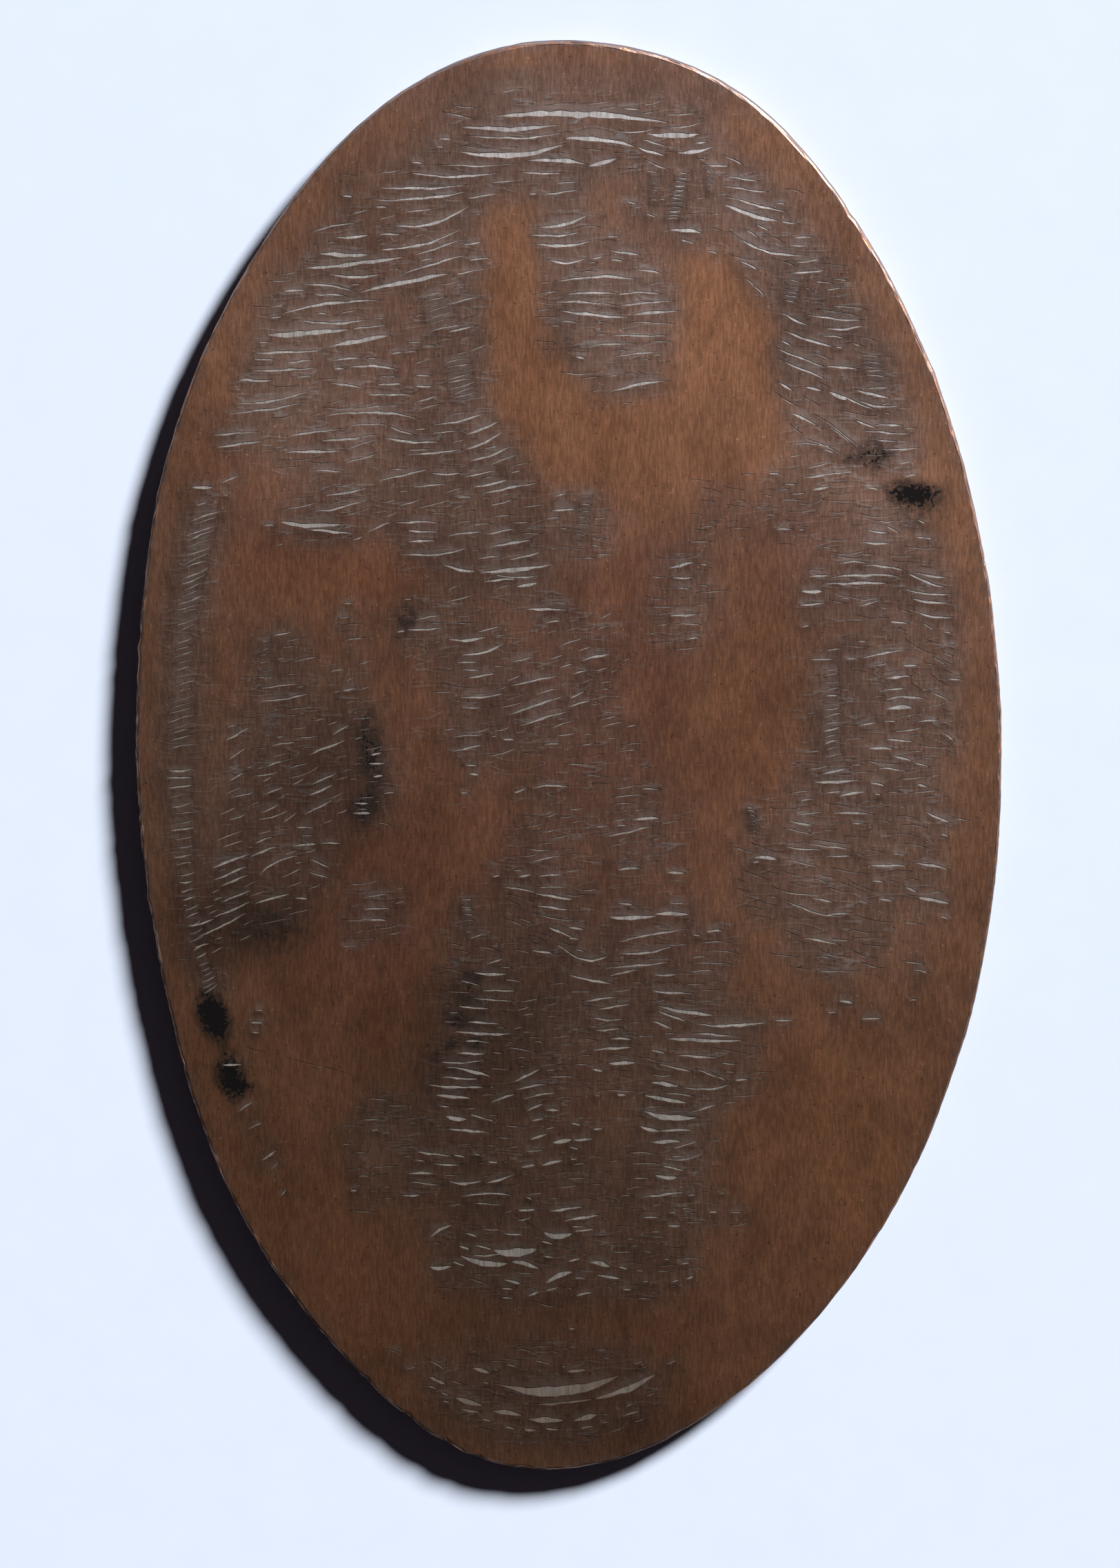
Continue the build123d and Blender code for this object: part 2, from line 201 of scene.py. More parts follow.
LOWER_LEFT = [
    (-862, -262, -775, -227, 0, 8), (-862, -292, -780, -258, 0, 7), (-842, -306, -775, -278, 0, 6),
    (-845, -348, -770, -315, 0, 7), (-930, -403, -860, -385, -3, 7), (-860, -382, -770, -343, 0, 8),
    (-900, -430, -780, -370, -2, 7), (-910, -455, -870, -445, 0, 5), (-760, -350, -675, -325, 3, 9),
    (-665, -334, -632, -336, 0, 8), (-745, -277, -650, -233, 12, 7), (-770, -235, -705, -210, 2, 7),
    (-760, -202, -718, -186, 0, 6), (-630, -235, -575, -260, -2, 7), (-630, -270, -580, -286, 0, 6),
    (-672, -206, -612, -203, 0, 9), (-660, -163, -615, -164, 2, 6), (-650, -184, -620, -182, 0, 6),
    (-602, -202, -550, -200, 0, 6), (-822, -146, -780, -130, 0, 6), (-742, -128, -700, -105, 0, 5),
    (-640, -130, -572, -95, -3, 6), (-690, -150, -658, -126, 0, 5), (-625, -84, -572, -60, 0, 8),
    (-622, -60, -560, -30, 0, 6), (-820, -92, -760, -76, 0, 5), (-742, -86, -690, -65, 0, 5),
    (-822, -50, -785, -30, 0, 5), (-770, -26, -690, 0, 0, 4), (-485, -8, -440, -6, 0, 7),
    (-472, -40, -450, -36, 0, 7), (-450, -80, -420, -78, 0, 5), (-520, -104, -485, -104, 0, 7),
    (-522, -128, -480, -128, 0, 9), (-500, -336, -430, -324, 2, 5), (-500, -362, -430, -360, 2, 7),
    (-500, -388, -442, -388, 1, 7), (-550, -452, -505, -450, 0, 4), (-252, -10, -220, -12, 0, 6),
    (-242, -32, -215, -34, 0, 7), (-262, -78, -240, -78, 0, 6), (-240, -432, -200, -420, 0, 6),
    (-165, -304, -75, -322, 2, 6), (-80, -322, 10, -335, -2, 9), (-100, -250, -12, -230, 2, 5),
    (-75, -280, -10, -276, 0, 7), (-80, -304, 0, -306, -2, 5), (-75, -352, 0, -360, -2, 8),
    (-50, -402, 10, -430, -1, 8), (-30, -446, 12, -474, 0, 6), (-90, -460, -40, -468, 0, 8),
    (-90, -68, 0, -62, 4, 8), (-130, -78, -102, -66, 0, 6), (-120, -282, -90, -276, 0, 7),
    (-185, -282, -165, -278, 0, 7), (-200, -496, -155, -480, 0, 5), (-230, -514, -150, -518, -3, 8),
    (-262, -534, -212, -548, 0, 5), (-210, -558, -130, -558, -2, 7), (-240, -574, -130, -584, -2, 6),
    (-270, -596, -190, -603, -1, 8), (-250, -634, -162, -640, -1, 8), (-280, -658, -130, -662, -4, 9),
    (-250, -682, -190, -684, 0, 7), (-280, -710, -200, -712, -1, 8), (-310, -732, -202, -728, -4, 7),
    (-305, -747, -185, -770, 6, 9), (-312, -770, -220, -774, 0, 7), (-340, -788, -205, -794, -3, 9),
    (-320, -814, -238, -820, 0, 10), (-320, -840, -280, -842, 0, 5), (-300, -865, -245, -872, -2, 11),
    (-238, -862, -180, -876, 0, 8), (-130, -780, -72, -750, 0, 7), (-132, -800, -52, -786, 0, 7),
    (-110, -822, -30, -806, 0, 7), (-185, -832, -132, -812, 2, 7), (-100, -852, -62, -834, 0, 7),
    (-56, -850, -20, -850, 0, 9), (-775, -638, -738, -638, 0, 11), (-760, -608, -742, -608, 0, 7),
    (-770, -662, -750, -662, 0, 6), (-842, -742, -792, -740, 0, 8), (-800, -855, -766, -830, 0, 6),
    (-780, -900, -745, -882, 0, 5), (-745, -975, -710, -950, 0, 6), (-725, -998, -705, -980, 0, 4),
    (-700, -1062, -686, -1045, 0, 5),
]
LOWER_MIDDLE = [
    (155, -142, 218, -138, 0, 9), (80, -186, 205, -158, 0, 7), (178, -68, 222, -68, 0, 6),
    (118, -157, 142, -156, 0, 6), (120, -264, 172, -260, 0, 8), (238, -270, 282, -272, 0, 7),
    (100, -378, 215, -376, -4, 10), (210, -372, 292, -372, 2, 10), (118, -346, 155, -348, 0, 7),
    (245, -346, 282, -344, 0, 6), (120, -440, 290, -406, 2, 7), (335, -416, 372, -412, 2, 8),
    (300, -422, 322, -424, 0, 6), (0, -462, 98, -470, -18, 9), (0, -404, 38, -410, 0, 7),
    (0, -430, 28, -434, 0, 5), (15, -458, 42, -464, 0, 5), (112, -466, 250, -450, -8, 7),
    (88, -504, 242, -488, -1, 7), (0, -518, 110, -540, -5, 8), (100, -522, 172, -506, 0, 6),
    (205, -520, 262, -518, 0, 7), (200, -554, 302, -562, -6, 9), (40, -584, 122, -574, 0, 7),
    (70, -602, 152, -590, -1, 7), (215, -592, 350, -616, -6, 10), (210, -604, 290, -634, 0, 8),
    (290, -634, 490, -632, -10, 9), (495, -630, 550, -630, 0, 5), (200, -632, 252, -650, 0, 8),
    (45, -620, 132, -626, -5, 6), (60, -654, 125, -648, -3, 7), (300, -660, 420, -666, -3, 7),
    (240, -674, 422, -678, -3, 10), (100, -676, 152, -676, 0, 7), (60, -703, 152, -695, -1, 9),
    (200, -702, 236, -710, 0, 7), (260, -714, 360, -720, -2, 7), (100, -736, 162, -733, 0, 10),
    (50, -748, 85, -754, 0, 8), (220, -736, 300, -756, 0, 7), (305, -748, 386, -778, 2, 6),
    (200, -780, 268, -790, -2, 10), (270, -790, 390, -784, -11, 9), (405, -776, 438, -774, 0, 6),
    (180, -812, 295, -832, -2, 12), (230, -804, 305, -816, 0, 6), (180, -850, 315, -866, -10, 13),
    (285, -856, 360, -834, -2, 6), (118, -812, 140, -812, 0, 9), (60, -814, 78, -814, 0, 6),
    (175, -888, 220, -900, -2, 10), (222, -900, 305, -898, 2, 8), (200, -928, 272, -926, 1, 10),
    (255, -942, 312, -924, -2, 7), (230, -962, 330, -950, -14, 7), (230, -986, 282, -995, -1, 8),
    (212, -1008, 262, -1012, -3, 10), (168, -1063, 280, -1050, 1, 7), (288, -1058, 310, -1055, 0, 5),
    (180, -1112, 222, -1110, 0, 6), (245, -1100, 262, -1100, 0, 6), (240, -1130, 272, -1130, -2, 9),
    (340, -1098, 362, -1097, 0, 5), (390, -1100, 422, -1098, 0, 5), (362, -1052, 382, -1050, 0, 5),
    (180, -1270, 196, -1267, 0, 7), (232, -1215, 246, -1213, 0, 5), (270, -1226, 295, -1222, 0, 6),
    (250, -1270, 270, -1264, 0, 5), (288, -1262, 305, -1255, 0, 6), (130, -1288, 155, -1287, 0, 7),
]
BOTTOM = [
    (-372, -950, -282, -962, -2, 8), (-280, -960, -250, -966, 0, 7), (-330, -980, -260, -984, -3, 8),
    (-395, -1006, -322, -1004, 0, 7), (-390, -1026, -302, -1034, 0, 6), (-406, -1058, -360, -1056, -2, 8),
    (-292, -1022, -212, -1022, -7, 9), (-210, -1028, -128, -1005, -5, 8), (-262, -1062, -138, -1058, 5, 8),
    (-240, -1078, -155, -1082, 0, 5), (-300, -894, -190, -905, -1, 9), (-230, -958, -212, -960, 0, 8),
    (-195, -976, -170, -978, 0, 8), (-336, -1162, -284, -1132, 3, 8), (-250, -1150, -220, -1160, 0, 8),
    (-162, -1150, -110, -1154, -1, 8), (-268, -1182, -240, -1190, 0, 9), (-230, -1180, -185, -1190, 0, 7),
    (-185, -1192, -75, -1188, -10, 20), (-232, -1204, -165, -1202, -2, 8),
    (-270, -1202, -145, -1224, -12, 15), (-140, -1220, -68, -1238, 2, 12), (-62, -1205, -34, -1208, -2, 13),
    (-282, -1220, -250, -1232, 0, 8), (-342, -1232, -282, -1230, -7, 16), (-158, -1265, -115, -1275, 1, 8),
    (-162, -1286, -132, -1288, 0, 6), (-162, -1308, -132, -1310, 0, 6), (-100, -1305, -72, -1293, 0, 7),
    (-56, -1274, 12, -1244, 5, 12), (-55, -1292, -22, -1282, 0, 5), (-62, -1148, 12, -1150, -9, 14),
    (15, -1147, 62, -1140, 1, 8), (-66, -1170, -36, -1178, 0, 9), (-122, -1094, -80, -1093, 0, 9),
    (-105, -1062, -88, -1068, 0, 9), (-48, -1096, 35, -1086, 0, 8), (-10, -1122, 72, -1106, 1, 9),
    (-115, -990, -80, -983, 0, 8), (-66, -986, -15, -973, 0, 8), (-92, -922, -50, -908, 1, 8),
    (-102, -950, -60, -948, 0, 6), (-40, -930, 10, -920, -2, 12), (12, -922, 58, -920, -1, 9),
    (0, -940, 26, -945, 0, 7), (60, -896, 86, -895, 0, 7), (-90, -876, -60, -870, 0, 7),
    (6, -882, 30, -886, 0, 7), (5, -970, 22, -968, 0, 6), (50, -1222, 100, -1232, 2, 10),
    (120, -1232, 146, -1238, 0, 16), (70, -1253, 125, -1260, 0, 8), (20, -1303, 62, -1295, 0, 9),
    (0, -1220, 30, -1212, 0, 6), (15, -1260, 45, -1262, 0, 6), (-532, -1048, -512, -1047, 0, 7),
    (-512, -1012, -482, -1012, 0, 5), (-480, -902, -460, -898, 0, 5), (-445, -1436, -405, -1446, 0, 4),
    (-400, -1486, -370, -1478, 0, 5), (-340, -1462, -300, -1486, 0, 6), (-338, -1504, -300, -1520, 0, 10),
    (-342, -1526, -320, -1532, 0, 7), (-312, -1542, -290, -1548, 0, 9), (-278, -1554, -205, -1574, -2, 12),
    (-306, -1562, -288, -1566, 0, 6), (-262, -1582, -215, -1590, 0, 9), (-188, -1586, -110, -1598, 0, 13),
    (-216, -1606, -188, -1612, 0, 7), (-102, -1606, -8, -1608, -3, 14), (-162, -1624, -128, -1630, 0, 12),
    (-110, -1632, -74, -1634, 0, 15), (-56, -1630, -22, -1632, 0, 10), (-86, -1568, 60, -1556, -5, 8),
    (-188, -1516, 125, -1498, -32, 26), (62, -1558, 215, -1494, -7, 13), (-232, -1482, -192, -1494, 0, 10),
    (-182, -1483, -168, -1486, 0, 8), (-152, -1472, -118, -1478, 0, 7), (-208, -1516, -192, -1520, 0, 6),
    (-82, -1463, -42, -1470, 0, 6), (0, -1490, 42, -1485, 0, 9), (10, -1612, 72, -1594, 0, 13),
    (30, -1630, 62, -1622, 0, 8), (130, -1600, 175, -1585, 0, 6), (80, -1616, 96, -1612, 0, 7),
    (140, -1576, 156, -1568, 0, 6), (240, -1472, 262, -1460, 0, 5), (160, -1472, 182, -1464, 0, 6),
    (0, -1386, 18, -1383, 0, 5),
]

# Columns of short tears: the tips of the first and of the last one, how many, their width
COLUMNS = [
    ((-9.2, 5.78, -8.4, 6.06), (-9.55, 3.1, -9.02, 3.3), 12, 0.06),
    ((-9.52, 2.85, -9.1, 2.98), (-9.78, 0.25, -9.02, 0.45), 11, 0.06),
    ((-9.76, -0.26, -9.1, -0.18), (-9.5, -2.97, -9.08, -2.9), 10, 0.08),
    ((-9.42, -3.2, -9.05, -3.1), (-9.1, -4.85, -8.78, -4.65), 6, 0.06),
    ((-9.0, -5.0, -8.72, -4.9), (-8.85, -5.7, -8.5, -5.46), 4, 0.05),
    ((2.62, 14.2, 2.9, 14.16), (2.32, 13.05, 2.68, 13.06), 8, 0.065),
    ((3.33, 14.22, 3.46, 14.2), (3.35, 13.76, 3.45, 13.75), 4, 0.05),
    ((2.0, 14.08, 2.16, 14.06), (2.0, 13.5, 2.12, 13.46), 5, 0.045),
    ((5.2, 11.64, 5.62, 11.56), (5.15, 11.16, 5.5, 11.1), 4, 0.06),
    ((7.08, 9.82, 7.5, 9.76), (7.18, 9.22, 7.75, 9.22), 4, 0.06),
    ((6.12, 2.24, 6.52, 2.28), (6.2, 0.08, 6.62, 0.2), 10, 0.07),
    ((4.32, -1.05, 4.5, -1.1), (4.4, -1.64, 4.62, -1.7), 4, 0.06),
    ((-2.6, -3.36, -2.34, -3.4), (-2.6, -4.12, -2.22, -4.1), 5, 0.055),
    ((0.35, 6.45, 0.62, 6.5), (0.1, 5.35, 0.38, 5.28), 6, 0.05),
    ((-3.5, 11.2, -3.02, 11.32), (-3.42, 10.55, -2.72, 10.72), 4, 0.055),
    ((-3.0, 9.6, -2.4, 9.72), (-2.8, 8.62, -2.18, 8.8), 6, 0.05),
    ((-7.5, 2.88, -7.2, 2.92), (-7.5, 1.98, -7.1, 2.02), 4, 0.05),
    ((-7.5, 1.12, -7.0, 1.18), (-7.42, 0.62, -7.1, 0.66), 3, 0.045),
    ((9.02, 2.88, 9.32, 2.78), (9.0, 2.3, 9.3, 2.16), 3, 0.045),
    ((9.0, 1.3, 9.25, 1.22), (9.15, 0.3, 9.4, 0.2), 3, 0.04),
]

# Patches of faint short tears: middle, half width and half height, how many, tilt in degrees, mean length
FAINT = [
    (-5.4, 12.6, 1.8, 1.6, 26, 6, 0.38), (-6.2, 10.2, 1.5, 1.6, 22, 5, 0.4),
    (-2.9, 11.2, 0.9, 1.7, 22, 14, 0.34), (-5.2, 8.2, 2.2, 1.3, 30, 8, 0.36),
    (-3.0, 9.2, 1.0, 1.0, 18, 12, 0.32), (-2.6, 7.0, 1.5, 1.1, 30, 14, 0.32),
    (-4.6, 6.3, 2.4, 0.8, 24, 8, 0.32), (-1.8, 5.4, 1.6, 1.1, 30, 8, 0.3),
    (-9.2, 3.2, 0.4, 3.2, 20, 20, 0.22), (-9.3, -2.0, 0.3, 3.0, 14, 8, 0.2),
    (0.8, 11.2, 1.7, 1.8, 30, 2, 0.34), (1.2, 9.6, 1.3, 0.9, 12, 3, 0.3), (0.2, 15.2, 3.2, 0.8, 20, 0, 0.3),
    (2.6, 13.8, 1.2, 0.9, 20, 0, 0.16), (4.7, 12.9, 1.2, 1.2, 28, -18, 0.3),
    (5.9, 11.4, 0.9, 1.4, 26, -5, 0.3), (6.0, 10.0, 1.2, 1.1, 30, -18, 0.34),
    (7.2, 9.2, 0.9, 1.2, 24, -8, 0.3), (6.2, 7.9, 1.1, 0.8, 34, -30, 0.4),
    (7.6, 7.9, 0.8, 0.8, 16, -5, 0.3), (6.0, 6.9, 1.0, 0.7, 16, 6, 0.32), (4.4, 6.2, 1.6, 0.9, 26, 0, 0.18),
    (7.6, 5.5, 1.4, 0.8, 22, -4, 0.28), (7.4, 4.3, 1.7, 0.8, 26, -4, 0.34),
    (8.6, 3.0, 0.8, 1.6, 26, -22, 0.28), (7.7, 1.4, 1.2, 1.6, 34, 4, 0.28),
    (6.3, 1.2, 0.5, 1.6, 14, 8, 0.22), (7.2, -0.7, 1.8, 0.9, 34, -4, 0.3),
    (6.2, -2.1, 1.5, 1.2, 40, -8, 0.38), (8.6, -1.6, 0.8, 1.4, 22, -14, 0.26),
    (6.3, -3.9, 1.3, 1.3, 34, -8, 0.38), (8.0, -3.6, 1.2, 1.6, 18, -8, 0.26),
    (4.7, -2.9, 0.6, 0.9, 12, -14, 0.28), (2.7, 3.9, 0.8, 1.1, 16, 0, 0.26),
    (0.4, 2.4, 1.0, 1.2, 22, 16, 0.26), (-0.8, 1.6, 1.2, 1.0, 24, 16, 0.3),
    (-2.3, 2.0, 0.9, 1.3, 20, 4, 0.3), (-3.4, 3.2, 0.8, 0.8, 12, 4, 0.24),
    (-5.3, 1.6, 0.5, 1.9, 20, 14, 0.2), (-6.9, 1.4, 0.9, 1.6, 24, 8, 0.28),
    (-7.4, -0.9, 1.2, 1.3, 26, 22, 0.3), (-6.2, -1.0, 0.8, 1.2, 22, 22, 0.28),
    (-8.2, -3.2, 0.8, 1.2, 20, 24, 0.32), (-6.9, -2.9, 1.0, 0.9, 18, 18, 0.3),
    (-4.8, 0.0, 0.5, 1.5, 20, 4, 0.2), (-4.7, -3.5, 0.7, 0.8, 10, 6, 0.28),
    (1.8, -1.6, 0.9, 1.0, 16, 8, 0.28), (0.2, -2.0, 1.6, 1.4, 24, 4, 0.26),
    (0.3, 0.3, 1.6, 1.0, 16, 6, 0.2), (-0.6, -3.9, 1.0, 0.9, 20, -12, 0.3),
    (-2.2, -5.4, 0.9, 1.4, 40, -4, 0.26), (-2.2, -7.2, 1.1, 1.4, 36, -3, 0.32),
    (-0.6, -7.0, 0.9, 1.7, 36, 6, 0.26), (0.9, -6.3, 1.0, 1.7, 40, 0, 0.3),
    (2.7, -5.0, 1.3, 1.4, 34, -2, 0.32), (3.1, -7.4, 1.4, 1.4, 40, -4, 0.34),
    (-4.6, -9.6, 1.0, 1.6, 18, 4, 0.22), (-2.6, -9.6, 1.4, 1.3, 34, 0, 0.26),
    (-0.6, -9.8, 1.1, 1.2, 30, 10, 0.22), (2.4, -9.7, 1.1, 1.2, 26, 0, 0.24),
    (1.6, -11.9, 1.6, 1.2, 40, -2, 0.2), (-1.6, -12.2, 1.8, 0.9, 22, -6, 0.22),
    (0.4, -10.2, 1.4, 0.6, 14, 0, 0.18), (-0.4, -14.6, 2.2, 0.5, 20, -2, 0.18),
    (-1.4, -15.9, 2.2, 0.6, 34, -8, 0.2), (1.2, -15.8, 1.2, 0.5, 12, 14, 0.18),
    (0.4, 5.8, 0.6, 0.9, 14, 0, 0.22), (3.4, -10.8, 1.2, 0.5, 8, 0, 0.16),
]

# Fine scratches: tips
SCRATCHES = [
    (3.05, 4.8, 3.55, 4.62), (-7.0, -7.18, -5.05, -7.68), (-7.9, -6.95, -7.3, -7.1),
    (-5.74, -5.78, -5.68, -6.02), (-1.6, -10.85, -0.62, -11.5), (3.3, -7.48, 3.9, -7.8),
    (-1.55, 7.12, -1.48, 6.85), (-0.85, 15.08, -0.74, 14.88), (-3.8, 6.05, -3.68, 5.98),
    (4.0, -15.0, 4.16, -15.03),
]

# Black carbon spots: middle, half width and half height, tilt in degrees, strength
CARBON = [
    (8.33, 6.45, 0.7, 0.32, -4, 1.1), (7.38, 7.38, 0.52, 0.46, 10, 0.6), (6.75, 7.3, 0.25, 0.15, 0, 0.45),
    (8.45, 5.8, 0.65, 0.35, 0, 0.3), (-8.62, -6.25, 0.36, 0.62, 20, 1.35),
    (-8.22, -7.72, 0.34, 0.6, 14, 1.1), (-7.8, -7.98, 0.26, 0.1, 0, 0.8), (-4.8, 0.25, 0.34, 1.15, 6, 0.62),
    (-5.0, -1.15, 0.4, 0.4, 0, 0.6), (-3.95, 3.45, 0.34, 0.42, -10, 0.45),
    (-2.3, -5.3, 0.26, 0.24, 0, 0.45), (-2.55, -5.95, 0.55, 0.8, 20, 0.4),
    (-2.78, -6.35, 0.2, 0.16, 0, 0.5), (-2.3, -6.85, 0.22, 0.14, 0, 0.55),
    (-2.86, -6.88, 0.16, 0.14, 0, 0.75), (-3.2, -7.24, 0.16, 0.12, 0, 0.75),
    (1.4, -11.95, 0.45, 0.3, 0, 0.26), (3.9, -9.6, 0.35, 0.5, 0, 0.2), (-7.1, -4.1, 1.1, 0.75, 20, 0.42),
    (8.4, -5.5, 0.22, 0.4, -10, 0.26), (4.45, -1.4, 0.2, 0.4, 0, 0.3), (5.25, -0.7, 0.25, 0.15, 0, 0.26),
]

# Brighter (+) and darker (-) areas: middle, half width and half height, tilt, amount
GLOW = [
    (2.8, 9.0, 2.2, 5.0, -6, 0.22), (1.0, 10.9, 1.0, 1.8, 0, 0.12), (6.8, 6.6, 2.0, 1.9, 0, 0.34),
    (6.0, -3.0, 2.6, 2.4, 0, 0.34), (8.4, 1.0, 1.2, 3.0, 0, 0.2), (1.2, -1.6, 1.5, 1.3, 0, 0.16),
    (-6.2, 8.6, 2.4, 2.6, -20, 0.38), (5.0, -12.0, 3.0, 3.6, 20, 0.08), (-5.4, -11.4, 2.2, 2.2, 30, 0.1),
    (4.6, 2.4, 1.4, 1.8, 0, -0.08), (5.6, 12.0, 1.6, 1.8, 0, -0.12), (-8.2, -4.0, 1.5, 1.3, 20, -0.42),
    (-5.8, -0.6, 1.5, 2.4, 0, -0.26), (-3.2, -7.2, 2.2, 2.6, 0, -0.26), (-0.4, -5.8, 2.0, 1.6, 0, -0.18),
    (-3.4, -10.8, 2.6, 1.6, 0, -0.14), (0.8, -13.6, 4.2, 1.8, 0, -0.12), (1.8, -16.4, 2.6, 0.9, 0, -0.2),
    (-5.0, 13.8, 1.6, 1.6, 40, -0.12), (0.0, 16.2, 4.0, 0.7, 0, -0.08), (0.9, -0.6, 1.0, 1.2, 0, 0.18),
    (-0.8, 10.9, 0.7, 0.9, 0, 0.22), (2.7, 3.6, 0.9, 0.9, 0, 0.12), (-4.0, -1.9, 1.2, 0.8, 0, -0.15),
    (0.9, 5.2, 0.9, 0.9, 0, 0.12), (-7.9, 5.0, 1.2, 1.2, 0, 0.1), (-2.4, 9.1, 2.4, 0.9, 0, 0.1),
    (4.4, 10.9, 1.6, 1.6, 0, -0.1),
]

# Finely wrinkled areas: middle, half width and half height, tilt, amount
WRINKLED = [
    (-2.4, 2.2, 2.0, 4.2, -8, 0.55), (-6.6, 0.2, 1.8, 2.2, 10, 0.5), (-8.6, -0.4, 0.5, 6.0, 4, 0.4),
    (1.6, -3.4, 2.4, 3.4, 0, 0.5), (-1.2, -6.4, 2.6, 4.0, 0, 0.55), (6.6, -0.4, 2.2, 5.4, 0, 0.45),
    (6.2, 10.4, 2.0, 3.6, 20, 0.2), (0.0, -11.4, 3.6, 2.0, 0, 0.4), (0.2, 1.8, 2.6, 2.6, 0, 0.3),
    (-4.6, 8.4, 3.4, 3.4, 0, 0.4), (0.0, -15.8, 3.2, 0.8, 0, 0.5),
]

# Patches of smoother, oranger copper (+) and of greyer copper (-): the same values
ORANGE = [
    (-1.3, 11.0, 0.75, 2.8, 4, 0.9), (-0.3, 8.2, 1.0, 1.6, 20, 0.7), (3.9, 10.2, 1.1, 2.4, 6, 1.0),
    (2.6, 7.6, 2.4, 1.2, 0, 0.9), (-6.0, 4.6, 3.0, 0.7, -4, 0.5), (6.2, -9.5, 2.4, 4.0, 20, 0.5),
    (4.6, 1.0, 1.2, 2.4, 0, 0.4), (-8.2, 8.0, 0.5, 2.2, -16, 0.5), (-6.3, -12.0, 1.5, 3.0, 25, 0.3),
    (0.6, 16.1, 5.0, 0.8, 0, -0.9), (-3.6, 14.6, 2.2, 0.8, 30, -0.6),
]

# Redder stains: middle, half width and half height, tilt, amount
RED = [
    (-1.0, 1.6, 8.0, 4.6, 0, 0.55), (-5.0, -3.6, 4.0, 3.6, 0, 0.5), (1.8, -2.8, 5.0, 2.6, 0, 0.45),
    (5.2, 4.6, 3.2, 1.6, 0, 0.4), (-6.6, 6.2, 3.0, 2.0, 0, 0.45), (-1.6, -14.6, 4.0, 2.2, 0, 0.4),
    (0.9, 1.5, 1.7, 4.2, 0, 0.8), (-6.0, 5.0, 2.4, 1.1, -6, 0.5), (-4.6, -4.4, 1.3, 2.2, -20, 0.5),
    (0.2, -7.8, 0.8, 1.7, 0, 0.6), (-3.6, 9.6, 1.3, 1.5, 0, 0.5), (-4.2, 9.9, 0.6, 0.9, 0, 0.3),
    (-4.6, 4.3, 1.0, 0.5, 0, 0.6), (-0.2, -2.2, 1.4, 0.7, 0, 0.7), (1.8, 4.0, 0.7, 1.4, 0, 0.6),
    (-5.2, -3.6, 1.6, 1.8, 10, 0.5), (5.6, 5.7, 0.8, 0.3, 0, 0.6), (0.9, -8.0, 0.4, 0.8, 0, 0.5),
    (3.1, -4.6, 0.6, 0.4, 0, 0.6), (3.6, -11.1, 1.0, 0.3, 0, 0.5), (1.4, -13.6, 1.4, 0.6, 0, 0.4),
]

rng = np.random.default_rng(7)
MM = 0.001
TEAR_REACH = LENGTH / 34.7  # the tears' places along the token are given for one 34.7 long
RING_COUNT = 960
GRID = 0.05
GRID_X, GRID_Y = -11.0, -18.0
GRID_SHAPE = (440, 720)
LATTICE = 0.19


# ---------------------------------------------------------------- outline
def raw_edge(angles, swells):
    """Edge points at angles in degrees, before they are centred on their box."""
    turned = np.radians(angles)
    radius = 1 / np.hypot(np.cos(turned) / (WIDTH / 2), np.sin(turned) / (LENGTH / 2))
    for where, amount, spread in swells:
        away = (angles - where + 180) % 360 - 180
        radius = radius + amount * np.exp(-((away / spread) ** 2))
    return np.stack([radius * np.cos(turned), radius * np.sin(turned)], -1)


box_points = raw_edge(np.arange(360.0), SWELLS)
MIDDLE = (box_points.max(0) + box_points.min(0)) / 2
ANGLES = np.arange(RING_COUNT) * 360 / RING_COUNT


def smooth_noise(count, cell, amount):
    """Seeded noise round a closed ring, with features about cell points wide."""
    raw = rng.normal(size=count)
    reach = np.minimum(np.arange(count), count - np.arange(count))
    soft = np.exp(-((reach / cell) ** 2))
    line = np.real(np.fft.ifft(np.fft.fft(raw) * np.fft.fft(soft)))
    return amount * line / line.std()


edge_rough = smooth_noise(RING_COUNT, 1.2, 0.0035) + smooth_noise(RING_COUNT, 9.0, 0.006)
left_side = np.exp(-(((ANGLES - 190) / 50) ** 2))
edge_rough = edge_rough + smooth_noise(RING_COUNT, 1.5, 0.010) * left_side


def ring(inset, rough=1.0):
    """The centred edge, moved in along its own normal."""
    step = 0.5
    along = raw_edge(ANGLES + step, SWELLS) - raw_edge(ANGLES - step, SWELLS)
    along /= np.linalg.norm(along, axis=1)[:, None]
    inwards = np.stack([-along[:, 1], along[:, 0]], -1)
    points = raw_edge(ANGLES, SWELLS + (NICKS if rough else [])) - MIDDLE
    return points + inwards * (inset + rough * edge_rough)[:, None]


# ---------------------------------------------------------------- tears
# How a tear is drawn, in mm
TEAR_STEP, FAINT_STEP = 0.11, 0.24
FINE_WIDTH = 0.1
FINE_SLIMNESS, WIDE_SLIMNESS = 0.38, 0.5
LONGEST_TIP, TIP_SHARE = 0.05, 0.09
WAVES = [(0.60, 4.2), (0.30, 9.0), (0.2, 17)]
LIP_ROUGHNESS = 0.0035


